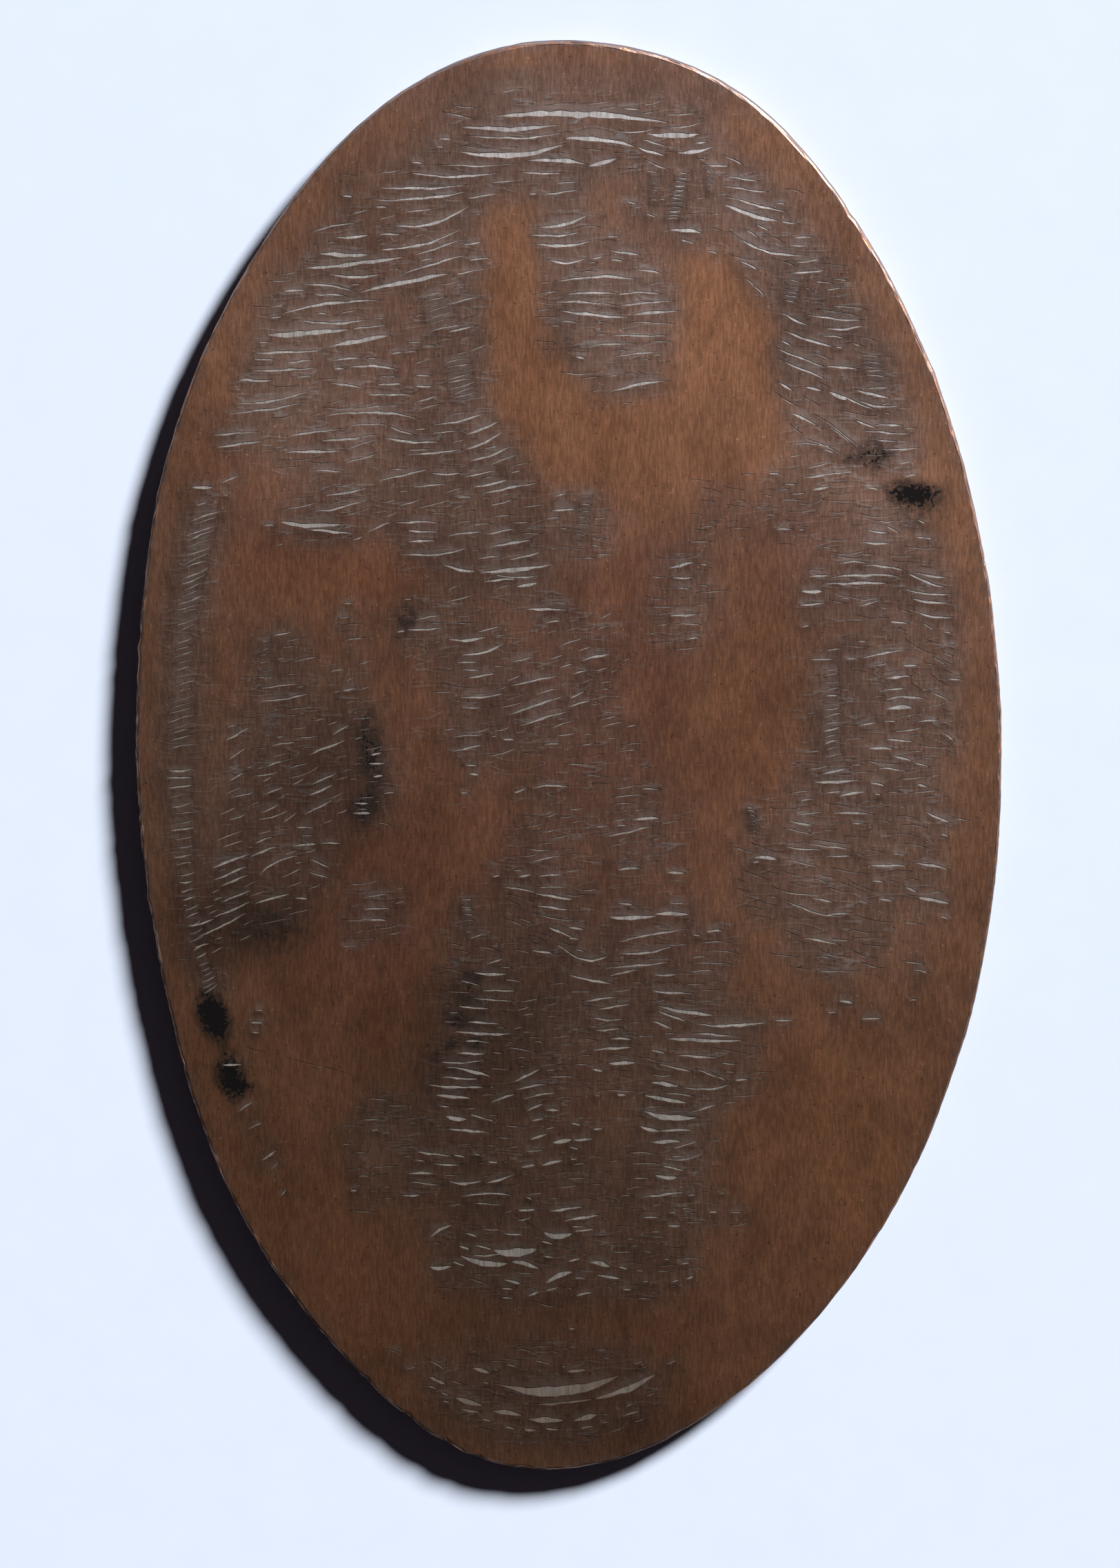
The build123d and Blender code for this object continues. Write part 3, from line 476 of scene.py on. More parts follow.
class Tear:
    """One lens-shaped opening: a wavy middle line between two tips, and half widths along it."""

    def __init__(self, x0, y0, x1, y1, bow, width, faint=False):
        chord = np.array([x1 - x0, y1 - y0])
        self.length = max(float(np.hypot(*chord)), 0.08)
        self.along = chord / self.length
        longer = 0.0 if faint or width > FINE_WIDTH else min(LONGEST_TIP, TIP_SHARE * self.length)
        self.tip = np.array([x0, y0]) - longer * self.along
        self.length += 2 * longer
        self.across = np.array([-self.along[1], self.along[0]])
        self.width = width = min(width, 0.02 + 0.17 * self.length)
        self.faint = faint
        count = int(np.clip(round(self.length / (FAINT_STEP if faint else TEAR_STEP)), 4, 34)) + 1
        self.t = np.linspace(0, 1, count)
        phases = rng.uniform(0, 6.28, len(WAVES))
        run = self.t * self.length
        wave = sum(size * np.sin(run * rate + phase) for (size, rate), phase in zip(WAVES, phases))
        wave = wave * min(0.022, 0.03 * self.length)
        self.middle = 4 * bow * self.t * (1 - self.t) + wave * np.sin(np.pi * self.t)
        lens = np.sin(np.pi * self.t ** rng.uniform(0.8, 1.25)) ** rng.uniform(0.5, 0.9)
        uneven = (1 + min(0.22, 0.02 / width) * self.wobble(count, 0.2)).clip(0.35, 1.5)
        self.half = (FINE_SLIMNESS if width < FINE_WIDTH else WIDE_SLIMNESS) * width * lens * uneven
        self.half[[0, -1]] = 0

    def wobble(self, count, scale):
        """Seeded noise along the tear."""
        knots = max(int(self.length / scale), 1) + 3
        return np.interp(self.t, np.linspace(0, 1, knots), rng.normal(size=knots)).clip(-1.8, 1.8)

    def place(self, t, off):
        """Points at fractions t of the length, off to the upper side."""
        return self.tip + np.outer(t * self.length, self.along) + np.outer(off, self.across)

    def loop(self):
        """The opening's outline, anticlockwise."""
        rough = rng.normal(size=len(self.t)).clip(-2, 2) * np.minimum(LIP_ROUGHNESS, 0.3 * self.half)
        low = self.place(self.t, self.middle - self.half + rough)
        high = self.place(self.t[1:-1], (self.middle + self.half)[1:-1])
        return np.vstack([low, high[::-1]])

    def beside(self, gap):
        """Points at a distance gap outside the two lips: lower ones, then upper ones."""
        inner = self.t[1:-1]
        reach = (self.half + gap)[1:-1]
        return self.place(inner, self.middle[1:-1] - reach), self.place(inner, self.middle[1:-1] + reach)


def stretched(row):
    """A tear's row, moved to where it is on a token of this LENGTH."""
    x0, y0, x1, y1, bow, width = row
    return x0, y0 * TEAR_REACH, x1, y1 * TEAR_REACH, bow, width


def inside_edge(x, y, margin):
    """Whether a point is at least margin inside the edge."""
    angle = math.degrees(math.atan2(y + MIDDLE[1], x + MIDDLE[0])) % 360
    limit = raw_edge(np.array([angle]), SWELLS)[0]
    return math.hypot(x + MIDDLE[0], y + MIDDLE[1]) < np.hypot(*limit) - margin


def to_cell(x, y):
    return int((x - GRID_X) / GRID), int((y - GRID_Y) / GRID)


ROW_PITCH = 0.165
ROW_GAP = (0.03, 0.18)
FAINT_LENGTHS = (0.3, 1.9)
COLUMN_DENSITY, COLUMN_JITTER = 1.45, 0.018
DULL_BELOW = -14.2  # the slim end's tears are stained darker


def paint(grid, tear, low, high, amount):
    """Marks the cells from low to high beyond the tear's upper lip; None means across its own width."""
    for t in np.arange(0, 1.0001, GRID * 0.6 / tear.length):
        middle = np.interp(t, tear.t, tear.middle)
        half = np.interp(t, tear.t, tear.half)
        start = middle - half if low is None else middle + half + low
        stop = middle + half if high is None else middle + half + high
        taper = math.sin(math.pi * min(max(t, 0.03), 0.97)) ** 0.5
        if low is not None:
            stop = start + (stop - start) * taper
        for off in np.arange(start, stop + GRID * 0.3, GRID * 0.6):
            x, y = tear.tip + t * tear.length * tear.along + off * tear.across
            i, j = to_cell(x, y)
            grid[i, j] = max(grid[i, j], amount * taper)


def blur(grid, sigma):
    """Soft copy of a grid, sigma in mm."""
    fx = np.fft.fftfreq(GRID_SHAPE[0])[:, None]
    fy = np.fft.rfftfreq(GRID_SHAPE[1])[None, :]
    soft = np.exp(-2 * (math.pi * sigma / GRID) ** 2 * (fx**2 + fy**2))
    return np.fft.irfft2(np.fft.rfft2(grid.astype(float)) * soft, s=GRID_SHAPE)


tear_rows = TOP_ARC + UPPER_LEFT + LEFT + UPPER_RIGHT + RIGHT + LOWER_LEFT + LOWER_MIDDLE + BOTTOM
tears = [Tear(*stretched([value / 100 for value in row])) for row in tear_rows]
for first, last, count, width in COLUMNS:
    count = round(count * COLUMN_DENSITY)
    for i in range(count):
        share = i / max(count - 1, 1)
        row = [a + (b - a) * share for a, b in zip(first, last)]
        row = [value + rng.normal() * COLUMN_JITTER for value in row]
        tears.append(Tear(*stretched((*row, rng.normal() * 0.02 - 0.01, width * rng.uniform(0.5, 0.95)))))

marks = np.zeros(GRID_SHAPE)
shine = np.zeros(GRID_SHAPE)
for tear in tears:
    paint(marks, tear, None, None, 1.0)
    dull = 0.5 if tear.tip[1] < DULL_BELOW else 1.0
    paint(shine, tear, None, None, dull * min(0.45 + 6 * tear.width, 1.2))
taken = blur(marks, 0.045) > 0.10


def faint_tear(x, y, run_x, run_y, bow, width):
    """The longest faint tear about (x, y) that is clear of the others, and its cells, or None."""
    for part in (1.0, 0.6, 0.36):
        tear = Tear(*stretched((x - part * run_x, y - part * run_y, x + part * run_x, y + part * run_y,
                                part * bow, width)), faint=True)
        cells = [to_cell(*tear.place(np.array([t]), np.array([0.0]))[0]) for t in np.linspace(0, 1, 13)]
        if not any(taken[i, j] for i, j in cells):
            return tear, cells
    return None, []


for x, y, half_width, half_height, count, tilt, mean_length in FAINT:
    share = min(0.30 + 0.125 * count * mean_length / (half_width * half_height), 0.96)
    for down in np.arange(-half_height, half_height, ROW_PITCH):
        across = -half_width + rng.uniform(-0.2, 0.3)
        while across < half_width:
            length = min(max(mean_length * rng.uniform(1.2, 4.0), FAINT_LENGTHS[0]), FAINT_LENGTHS[1])
            turn = math.radians(tilt + 5 * math.sin(down * 2.1 + x) + rng.normal() * 4)
            spot_x = x + across + length / 2
            spot_y = y + down + across * math.tan(turn) + rng.normal() * 0.02
            across += length + rng.uniform(*ROW_GAP)
            run_x, run_y = math.cos(turn) * length / 2, math.sin(turn) * length / 2
            outwards = math.hypot((across - length / 2) / half_width, down / half_height)
            if (rng.uniform() > share or outwards > rng.uniform(0.90, 1.35)
                    or not inside_edge(spot_x, spot_y * TEAR_REACH, 0.45 + length / 2)):
                continue
            bow = (0.06 * math.sin(spot_x * 1.1 + 0.6 * spot_y) - 0.04 + rng.normal() * 0.015) * length
            width = rng.uniform(0.020, 0.034) + 0.014 * length
            tear, cells = faint_tear(spot_x, spot_y, run_x, run_y, bow, width)
            if tear is None:
                continue
            paint(marks, tear, None, None, 0.6)
            paint(shine, tear, None, None, rng.uniform(0.35, 1.0))
            for i, j in cells:
                taken[i - 1:i + 2, j - 1:j + 2] = True
            tears.append(tear)

for x0, y0, x1, y1 in SCRATCHES:
    tears.append(Tear(*stretched((x0, y0, x1, y1, rng.normal() * 0.01, 0.024)), faint=True))
    paint(shine, tears[-1], None, None, 0.9)

# ---------------------------------------------------------------- soft fields over the back
smears = np.zeros(GRID_SHAPE)
lips = np.zeros(GRID_SHAPE)
for tear in tears:
    strength = (0.30 if tear.faint else 0.8 + 2.0 * tear.width) * rng.uniform(0.7, 1.2)
    paint(smears, tear, 0.0, (0.03 if tear.faint else 0.06) + 0.4 * tear.width, min(strength, 1.2))
    # Cells just below each tear's lower lip: they raise the lip and carry its painted shade
    for x, y in tear.place(tear.t, tear.middle - tear.half - 0.05):
        i, j = to_cell(x, y)
        lips[i, j] = max(lips[i, j], 0.6 if tear.faint else 1.0)
smear_field = blur(smears, 0.034)
shine_field = blur(shine, 0.05) / (blur(marks > 0, 0.05) + 0.02)
lip_rise_and_shade_field = blur(lips, 0.07) * 6
grey_field = (blur(marks, 0.22) * 2.6 + blur(marks, 0.6) * 3.2).clip(0, 1.3)


def patch_field(rows):
    """A soft field of tilted oval patches."""
    xs = GRID_X + (np.arange(GRID_SHAPE[0]) + 0.5) * GRID
    ys = GRID_Y + (np.arange(GRID_SHAPE[1]) + 0.5) * GRID
    x_grid, y_grid = np.meshgrid(xs, ys, indexing="ij")
    total = np.zeros(GRID_SHAPE)
    for x, y, half_width, half_height, tilt, amount in rows:
        c, s = math.cos(math.radians(tilt)), math.sin(math.radians(tilt))
        u = ((x_grid - x) * c + (y_grid - y * TEAR_REACH) * s) / half_width
        v = (-(x_grid - x) * s + (y_grid - y * TEAR_REACH) * c) / half_height
        total += amount * np.exp(-((u * u + v * v) ** 1.3))
    return total


carbon_field = patch_field(CARBON)
glow_field = patch_field(GLOW)
wrinkled_field = patch_field(WRINKLED)
orange_field = patch_field(ORANGE)
red_field = patch_field(RED)


def sample(field, points):
    """A field's values at points, between its cells."""
    gx = ((points[:, 0] - GRID_X) / GRID - 0.5).clip(0, GRID_SHAPE[0] - 1.001)
    gy = ((points[:, 1] - GRID_Y) / GRID - 0.5).clip(0, GRID_SHAPE[1] - 1.001)
    i, j = gx.astype(int), gy.astype(int)
    fx, fy = gx - i, gy - j
    return (field[i, j] * (1 - fx) * (1 - fy) + field[i + 1, j] * fx * (1 - fy)
            + field[i, j + 1] * (1 - fx) * fy + field[i + 1, j + 1] * fx * fy)


# ---------------------------------------------------------------- copper skin: the torn back
flat_edge = ring(EDGE_RADIUS).astype(np.float32)
loops = [tear.loop() for tear in tears]
near_any = blur(marks, 0.05) > 0.06
extra = []
for tear in tears:
    if tear.faint:
        continue
    low, high = tear.beside(0.045)
    extra += [low[::2], high[::2]]
lip_points = np.vstack(extra)
cells = [to_cell(x, y) for x, y in lip_points]
tight = blur(marks, 0.02) > 0.12
lip_points = lip_points[[not tight[i, j] for i, j in cells]]

rows = np.arange(GRID_Y, -GRID_Y, LATTICE * 0.866)
lattice = []
for k, y in enumerate(rows):
    xs = np.arange(GRID_X, -GRID_X, LATTICE) + (LATTICE / 2 if k % 2 else 0)
    lattice.append(np.stack([xs, np.full(len(xs), y)], -1))
lattice = np.vstack(lattice) + rng.uniform(-0.02, 0.02, (sum(map(len, lattice)), 2))
rim_angle = np.degrees(np.arctan2(lattice[:, 1] + MIDDLE[1], lattice[:, 0] + MIDDLE[0])) % 360
rim_radius = np.hypot(*(raw_edge(rim_angle, SWELLS)).T)
lattice = lattice[np.hypot(*(lattice + MIDDLE).T) < rim_radius - EDGE_RADIUS - 0.10]
crowded = near_any.copy()
for x, y in lip_points:
    i, j = to_cell(x, y)
    crowded[i, j] = True
lattice = lattice[[not crowded[to_cell(x, y)] for x, y in lattice]]


def loop_edges(start, count):
    """Edges round a closed ring of points."""
    return [(start + k, start + (k + 1) % count) for k in range(count)]


def triangulate(loose):
    """Triangles between the flat's edge and the tears' lips; loose points are added on the way."""
    parts, faces, start = [flat_edge] + loops, [], 0
    for part in parts:
        faces.append(list(range(start, start + len(part))))
        start += len(part)
    points = np.vstack(parts + ([loose] if len(loose) else []))
    result = delaunay_2d_cdt([Vector(p) for p in points.tolist()], [], faces, 0, 1e-6, True)
    verts = np.array([tuple(v) for v in result[0]])
    kept = np.array([f for f, origin in zip(result[2], result[5]) if list(origin) == [0]])
    whole = np.array([f for f, origin in zip(result[2], result[5]) if 0 in origin])
    return verts, kept, whole


top, top_faces, whole_faces = triangulate(np.vstack([lip_points, lattice]))
skin, skin_faces, _ = triangulate(lattice[::14])


def open_edges(faces):
    """Edges used by one triangle only, in that triangle's direction."""
    runs = np.vstack([faces[:, [0, 1]], faces[:, [1, 2]], faces[:, [2, 0]]])
    seen = set(map(tuple, runs.tolist()))
    return [(a, b) for a, b in map(tuple, runs.tolist()) if (b, a) not in seen]


def key(point):
    """Tells points of different meshes that are at the same place."""
    return round(float(point[0]) * 5000), round(float(point[1]) * 5000)


class Mesh:
    """Gathers points in mm and faces for one object."""

    def __init__(self):
        self.points, self.faces, self.count = [], [], 0

    def add(self, points, faces):
        start = self.count
        self.points.append(np.asarray(points, float))
        self.faces += [tuple(start + k for k in face) for face in faces]
        self.count += len(points)
        return start


def height_of(points):
    """Unevenness of the back: sunk above the tears, raised below them, and gentle waves."""
    waves = 0.004 * np.sin(points[:, 0] * 1.9 + 2 * np.sin(points[:, 1] * 0.7))
    waves += 0.004 * np.sin(points[:, 1] * 1.3 + 1.5 * np.sin(points[:, 0] * 0.9))
    return waves * 0.8 + 0.005 * sample(lip_rise_and_shade_field, points) - 0.006 * sample(smear_field, points)


rim_names = {key(p): k for k, p in enumerate(flat_edge)}
shell = Mesh()
top_start = shell.add(np.column_stack([top, BACK + height_of(top)]), top_faces)
skin_start = shell.add(np.column_stack([skin, BACK + height_of(skin) - SKIN]), skin_faces[:, ::-1])
skin_at = {key(p): k for k, p in enumerate(skin)}
top_rim = {}
for a, b in open_edges(top_faces):
    key_a, key_b = key(top[a]), key(top[b])
    if key_a in rim_names and key_b in rim_names:
        top_rim[rim_names[key_a]] = top_start + a
        top_rim[rim_names[key_b]] = top_start + b
    elif key_a in skin_at and key_b in skin_at:
        low_a, low_b = skin_start + skin_at[key_a], skin_start + skin_at[key_b]
        shell.faces.append((top_start + b, top_start + a, low_a, low_b))

# ---------------------------------------------------------------- copper skin: edge
ARC = 5


def profile(grow):
    """Rings from the back's flat to the underside's flat, as (inset, height)."""
    radius = EDGE_RADIUS - grow
    rows = []
    for k in range(1, ARC + 1):
        turn = math.pi / 2 * k / ARC
        rows.append((EDGE_RADIUS - radius * math.sin(turn), BACK - grow - radius * (1 - math.cos(turn))))
    return rows + [(inset, RELIEF_HEIGHT + BACK - height) for inset, height in rows[::-1]]


def join_rings(gathered, first, second, flip):
    """Quads between two rings of vertex numbers."""
    for k in range(RING_COUNT):
        k2 = (k + 1) % RING_COUNT
        quad = (first[k], first[k2], second[k2], second[k])
        gathered.faces.append(quad[::-1] if flip else quad)


def lay_rings(gathered, first, insets, rough, flip):
    """Rings down the edge, joined to the vertex numbers in first; returns the last ring's numbers."""
    last = first
    for level, (inset, height) in enumerate(insets):
        flat = ring(inset, min(1.0, (level + 1) / 3) * rough)
        wave = rough * smooth_noise(RING_COUNT, 1.5, 0.006)
        start = gathered.add(np.column_stack([flat, height + wave]), [])
        here = list(range(start, start + RING_COUNT))
        join_rings(gathered, last, here, flip)
        last = here
    return last


outer_last = lay_rings(shell, [top_rim[k] for k in range(RING_COUNT)], profile(0)[:-1], 1.0, False)
inner_first = [skin_start + skin_at[key(p)] for p in flat_edge]
inner_last = lay_rings(shell, inner_first, profile(SKIN)[1:-1:3], 0, True)

# The zinc core: one surface just under the skin, seen through the tears
heart = Mesh()
heart.add(np.column_stack([top, BACK + height_of(top) - SKIN]), whole_faces)
heart_at = {key(p): k for k, p in enumerate(top)}
heart_last = lay_rings(heart, [heart_at[key(p)] for p in flat_edge], profile(SKIN)[1:-1:3], 0, False)

# ---------------------------------------------------------------- copper skin: the face that lies down
BORDER_INSET, BEAD_RADIUS, BEAD_COUNT = 1.15, 0.28, 92
CAR_LENGTH, CAR_HEIGHT, CAR_CORNER = 15.0, 4.4, 0.6
WINDOW_COUNT, WINDOW_SIZE, WINDOW_PITCH, WINDOW_RISE = 6, 1.5, 2.2, 0.75
ROOF_LENGTH, ROOF_HEIGHT = 11.0, 1.0
WHEEL_RADIUS, WHEEL_BORE, WHEEL_SPREAD = 1.0, 0.35, 4.6
RAIL_LENGTH, RAIL_WIDTH, TIE_COUNT, TIE_PITCH, TIE_LENGTH = 22.0, 0.5, 15, 1.45, 0.8
WIRE_LENGTH, POLE_LENGTH, POLE_WIDTH, POLE_RISE, POLE_TILT = 18.0, 5.0, 0.40, 2.2, 27
BAR_CORNER = 0.02
RAIL_LEVEL = -CAR_HEIGHT / 2 - WHEEL_RADIUS
POLE_LEVEL = CAR_HEIGHT / 2 + ROOF_HEIGHT + POLE_RISE / 2
WIRE_LEVEL = POLE_LEVEL + POLE_RISE / 2


def rounded_box(half_u, half_v, corner, u0=0.0, v0=0.0, tilt=0.0):
    """Distance to, and outline at a distance from, a rounded rectangle in the tramcar's own plane."""
    c, s = math.cos(math.radians(tilt)), math.sin(math.radians(tilt))

    def distance(u, v):
        du, dv = u - u0, v - v0
        pu, pv = np.abs(du * c + dv * s) - half_u + corner, np.abs(-du * s + dv * c) - half_v + corner
        return np.hypot(pu.clip(0), pv.clip(0)) + np.minimum(np.maximum(pu, pv), 0) - corner

    def contour(off):
        points, radius = [], max(corner + off, 0.004)
        for quarter, (su, sv) in enumerate([(1, 1), (-1, 1), (-1, -1), (1, -1)]):
            for k in range(5):
                turn = math.pi / 2 * (quarter + k / 4)
                points.append((su * (half_u - corner) + radius * math.cos(turn),
                               sv * (half_v - corner) + radius * math.sin(turn)))
        return [(u0 + u * c - v * s, v0 + u * s + v * c) for u, v in points]

    return distance, contour


def disc(radius, u0, v0, steps=32):
    """The same two functions for a disc."""
    def distance(u, v):
        return np.hypot(u - u0, v - v0) - radius

    def contour(off):
        turns = np.arange(steps) * 2 * math.pi / steps
        return [(u0 + (radius + off) * math.cos(t), v0 + (radius + off) * math.sin(t)) for t in turns]

    return distance, contour


def roof():
    """The tramcar's roof: a low block with ends at 45 degrees."""
    foot, head = ROOF_LENGTH / 2, ROOF_LENGTH / 2 - ROOF_HEIGHT
    base = CAR_HEIGHT / 2

    def distance(u, v):
        slope = (np.abs(u) - foot + (v - base)) / math.sqrt(2)
        return np.maximum(np.maximum(slope, v - base - ROOF_HEIGHT), base - 0.2 - v)

    def contour(off):
        side = off * math.sqrt(2)
        top_v, low_v = base + ROOF_HEIGHT + off, base - 0.2 - off
        wide, narrow = foot + 0.2 + side + off, head + side - off
        return [(wide, low_v), (narrow, top_v), (-narrow, top_v), (-wide, low_v)]

    return distance, contour


def spread(count, pitch):
    """Evenly spaced places about the middle."""
    return [(k - (count - 1) / 2) * pitch for k in range(count)]


raised = [rounded_box(CAR_LENGTH / 2, CAR_HEIGHT / 2, CAR_CORNER), roof()]
windows = [rounded_box(WINDOW_SIZE / 2, WINDOW_SIZE / 2, 0.25, u, WINDOW_RISE)
           for u in spread(WINDOW_COUNT, WINDOW_PITCH)]
wheels = [disc(WHEEL_RADIUS, side * WHEEL_SPREAD, -CAR_HEIGHT / 2) for side in (-1, 1)]
bores = [disc(WHEEL_BORE, side * WHEEL_SPREAD, -CAR_HEIGHT / 2, 16) for side in (-1, 1)]
rails = [rounded_box(RAIL_LENGTH / 2, RAIL_WIDTH / 2, BAR_CORNER, 0, RAIL_LEVEL)]
rails += [rounded_box(RAIL_WIDTH / 2, TIE_LENGTH / 2, BAR_CORNER, u, RAIL_LEVEL - TIE_LENGTH / 2)
          for u in spread(TIE_COUNT, TIE_PITCH)]
rails.append(rounded_box(WIRE_LENGTH / 2, RAIL_WIDTH / 2, BAR_CORNER, 0, WIRE_LEVEL))
rails.append(rounded_box(POLE_LENGTH / 2, POLE_WIDTH / 2, BAR_CORNER, 0, POLE_LEVEL, POLE_TILT))

border = ring(BORDER_INSET, 0)
steps = np.linalg.norm(np.roll(border, -1, 0) - border, axis=1)
run = np.concatenate([[0], np.cumsum(steps)])
closed = np.vstack([border, border[:1]])
marks_at = np.arange(BEAD_COUNT) / BEAD_COUNT * run[-1]
beads = np.column_stack([np.interp(marks_at, run, closed[:, 0]), np.interp(marks_at, run, closed[:, 1])])


# The design's wall: how far outside its outline, and how high there
OFFSETS = (0.03, -0.005, -0.06)
WALL_HEIGHTS = (RELIEF_HEIGHT, 0.02, 0.0)


def relief(points):
    """Height of the raised design's surface above the floor, in mm, at points in the token's own frame."""
    u, v = points[:, 1], points[:, 0]
    far = np.full(len(points), 9.0)
    for shapes, added in [(raised, True), (windows, False), (wheels, True), (bores, False), (rails, True)]:
        for distance, _ in shapes:
            far = np.minimum(far, distance(u, v)) if added else np.maximum(far, -distance(u, v))
    for x, y in beads:
        far = np.minimum(far, np.hypot(points[:, 0] - x, points[:, 1] - y) - BEAD_RADIUS)
    return np.interp(far, OFFSETS[::-1], WALL_HEIGHTS[::-1])


under_loops = [ring(EDGE_RADIUS, 0).astype(np.float32)]
for shapes, sign in [(raised + wheels + rails, 1), (windows + bores, -1)]:
    for _, contour in shapes:
        for off in OFFSETS:
            under_loops.append(np.array([(v, u) for u, v in contour(sign * off)]))
for x, y in beads:
    for off in OFFSETS:
        turns = np.arange(14) * 2 * math.pi / 14
        under_loops.append(np.column_stack([x + (BEAD_RADIUS + off) * np.cos(turns),
                                            y + (BEAD_RADIUS + off) * np.sin(turns)]))
under_points, under_edges, start = [], [], 0
for loop in under_loops:
    under_points.append(loop)
    under_edges += loop_edges(start, len(loop))
    start += len(loop)
under_points.append(lattice[::9])
under_points = np.vstack(under_points)
result = delaunay_2d_cdt([Vector(p) for p in under_points.tolist()], under_edges, [], 0, 1e-6, True)
under = np.array([tuple(v) for v in result[0]])
centre = np.array([under[list(f)].mean(0) for f in result[2]])
angle = np.degrees(np.arctan2(centre[:, 1] + MIDDLE[1], centre[:, 0] + MIDDLE[0])) % 360
rim = under_loops[0] + MIDDLE
rim_turn = np.degrees(np.arctan2(rim[:, 1], rim[:, 0])) % 360
order = np.argsort(rim_turn)
limit = np.interp(angle, rim_turn[order], np.hypot(*rim[order].T), period=360)
under_faces = np.array(result[2])[np.hypot(*(centre + MIDDLE).T) < limit + 1e-4]
depth = relief(under)
outer_start = shell.add(np.column_stack([under, depth]), under_faces[:, ::-1])
inner_start = shell.add(np.column_stack([under, depth + SKIN]), under_faces)
heart_start = heart.add(np.column_stack([under, depth + SKIN]), under_faces[:, ::-1])
rim_at = {key(p): k for k, p in enumerate(under)}
closings = [(shell, outer_last, outer_start, False), (shell, inner_last, inner_start, True),
            (heart, heart_last, heart_start, False)]
for gathered, last, base, flip in closings:
    join_rings(gathered, last, [base + rim_at[key(p)] for p in under_loops[0]], flip)


# ---------------------------------------------------------------- vertex tones and the mesh itself
def set_tones(mesh, points):
    """Writes the soft fields as vertex colours of three names, each with four values."""
    flat = points[:, :2]
    on_back = points[:, 2] > BACK - 0.05
    grey = sample(grey_field, flat) * on_back
    smear = sample(smear_field, flat) * 1.6 * on_back
    carbon = sample(carbon_field, flat) * on_back
    # Painted shade along each tear's lower lip, the fourth value of marks
    lip = sample(lip_rise_and_shade_field, flat) * on_back
    orange, red, shining = (sample(field, flat) for field in (orange_field, red_field, shine_field))
    worn = np.exp(-((edge_gap(flat) / 0.09) ** 2))
    glow = sample(glow_field, flat) + 1
    wrinkled = sample(wrinkled_field, flat) * on_back
    tones = {"marks": [grey, smear, carbon, lip], "tints": [orange, red, worn, shining],
             "tones": [glow, wrinkled, glow, glow]}
    for name, values in tones.items():
        layer = mesh.attributes.new(name, "FLOAT_COLOR", "POINT")
        layer.data.foreach_set("color", np.column_stack(values).ravel().astype("f4"))


def edge_gap(points):
    """How far points are inside the edge, measured along the line from the middle."""
    turn = np.degrees(np.arctan2(points[:, 1] + MIDDLE[1], points[:, 0] + MIDDLE[0])) % 360
    return np.hypot(*raw_edge(turn, SWELLS).T) - np.hypot(*(points + MIDDLE).T)


def finish_mesh(name, gathered):
    """The gathered faces as one object, without unused points."""
    points = np.vstack(gathered.points)
    used = np.unique(np.concatenate([np.array(face) for face in gathered.faces]))
    renumber = np.full(len(points), -1)
    renumber[used] = np.arange(len(used))
    points = points[used]
    mesh = bpy.data.meshes.new(name)
    faces = [tuple(renumber[list(face)].tolist()) for face in gathered.faces]
    mesh.from_pydata((points * MM).tolist(), [], faces)
    set_tones(mesh, points)
    piece = bpy.data.objects.new(name, mesh)
    bpy.context.collection.objects.link(piece)
    return piece


plating = finish_mesh("torn_plating", shell)
zinc = finish_mesh("rolled_zinc", heart)


# ---------------------------------------------------------------- materials
BUMP_HEIGHT = 0.000012


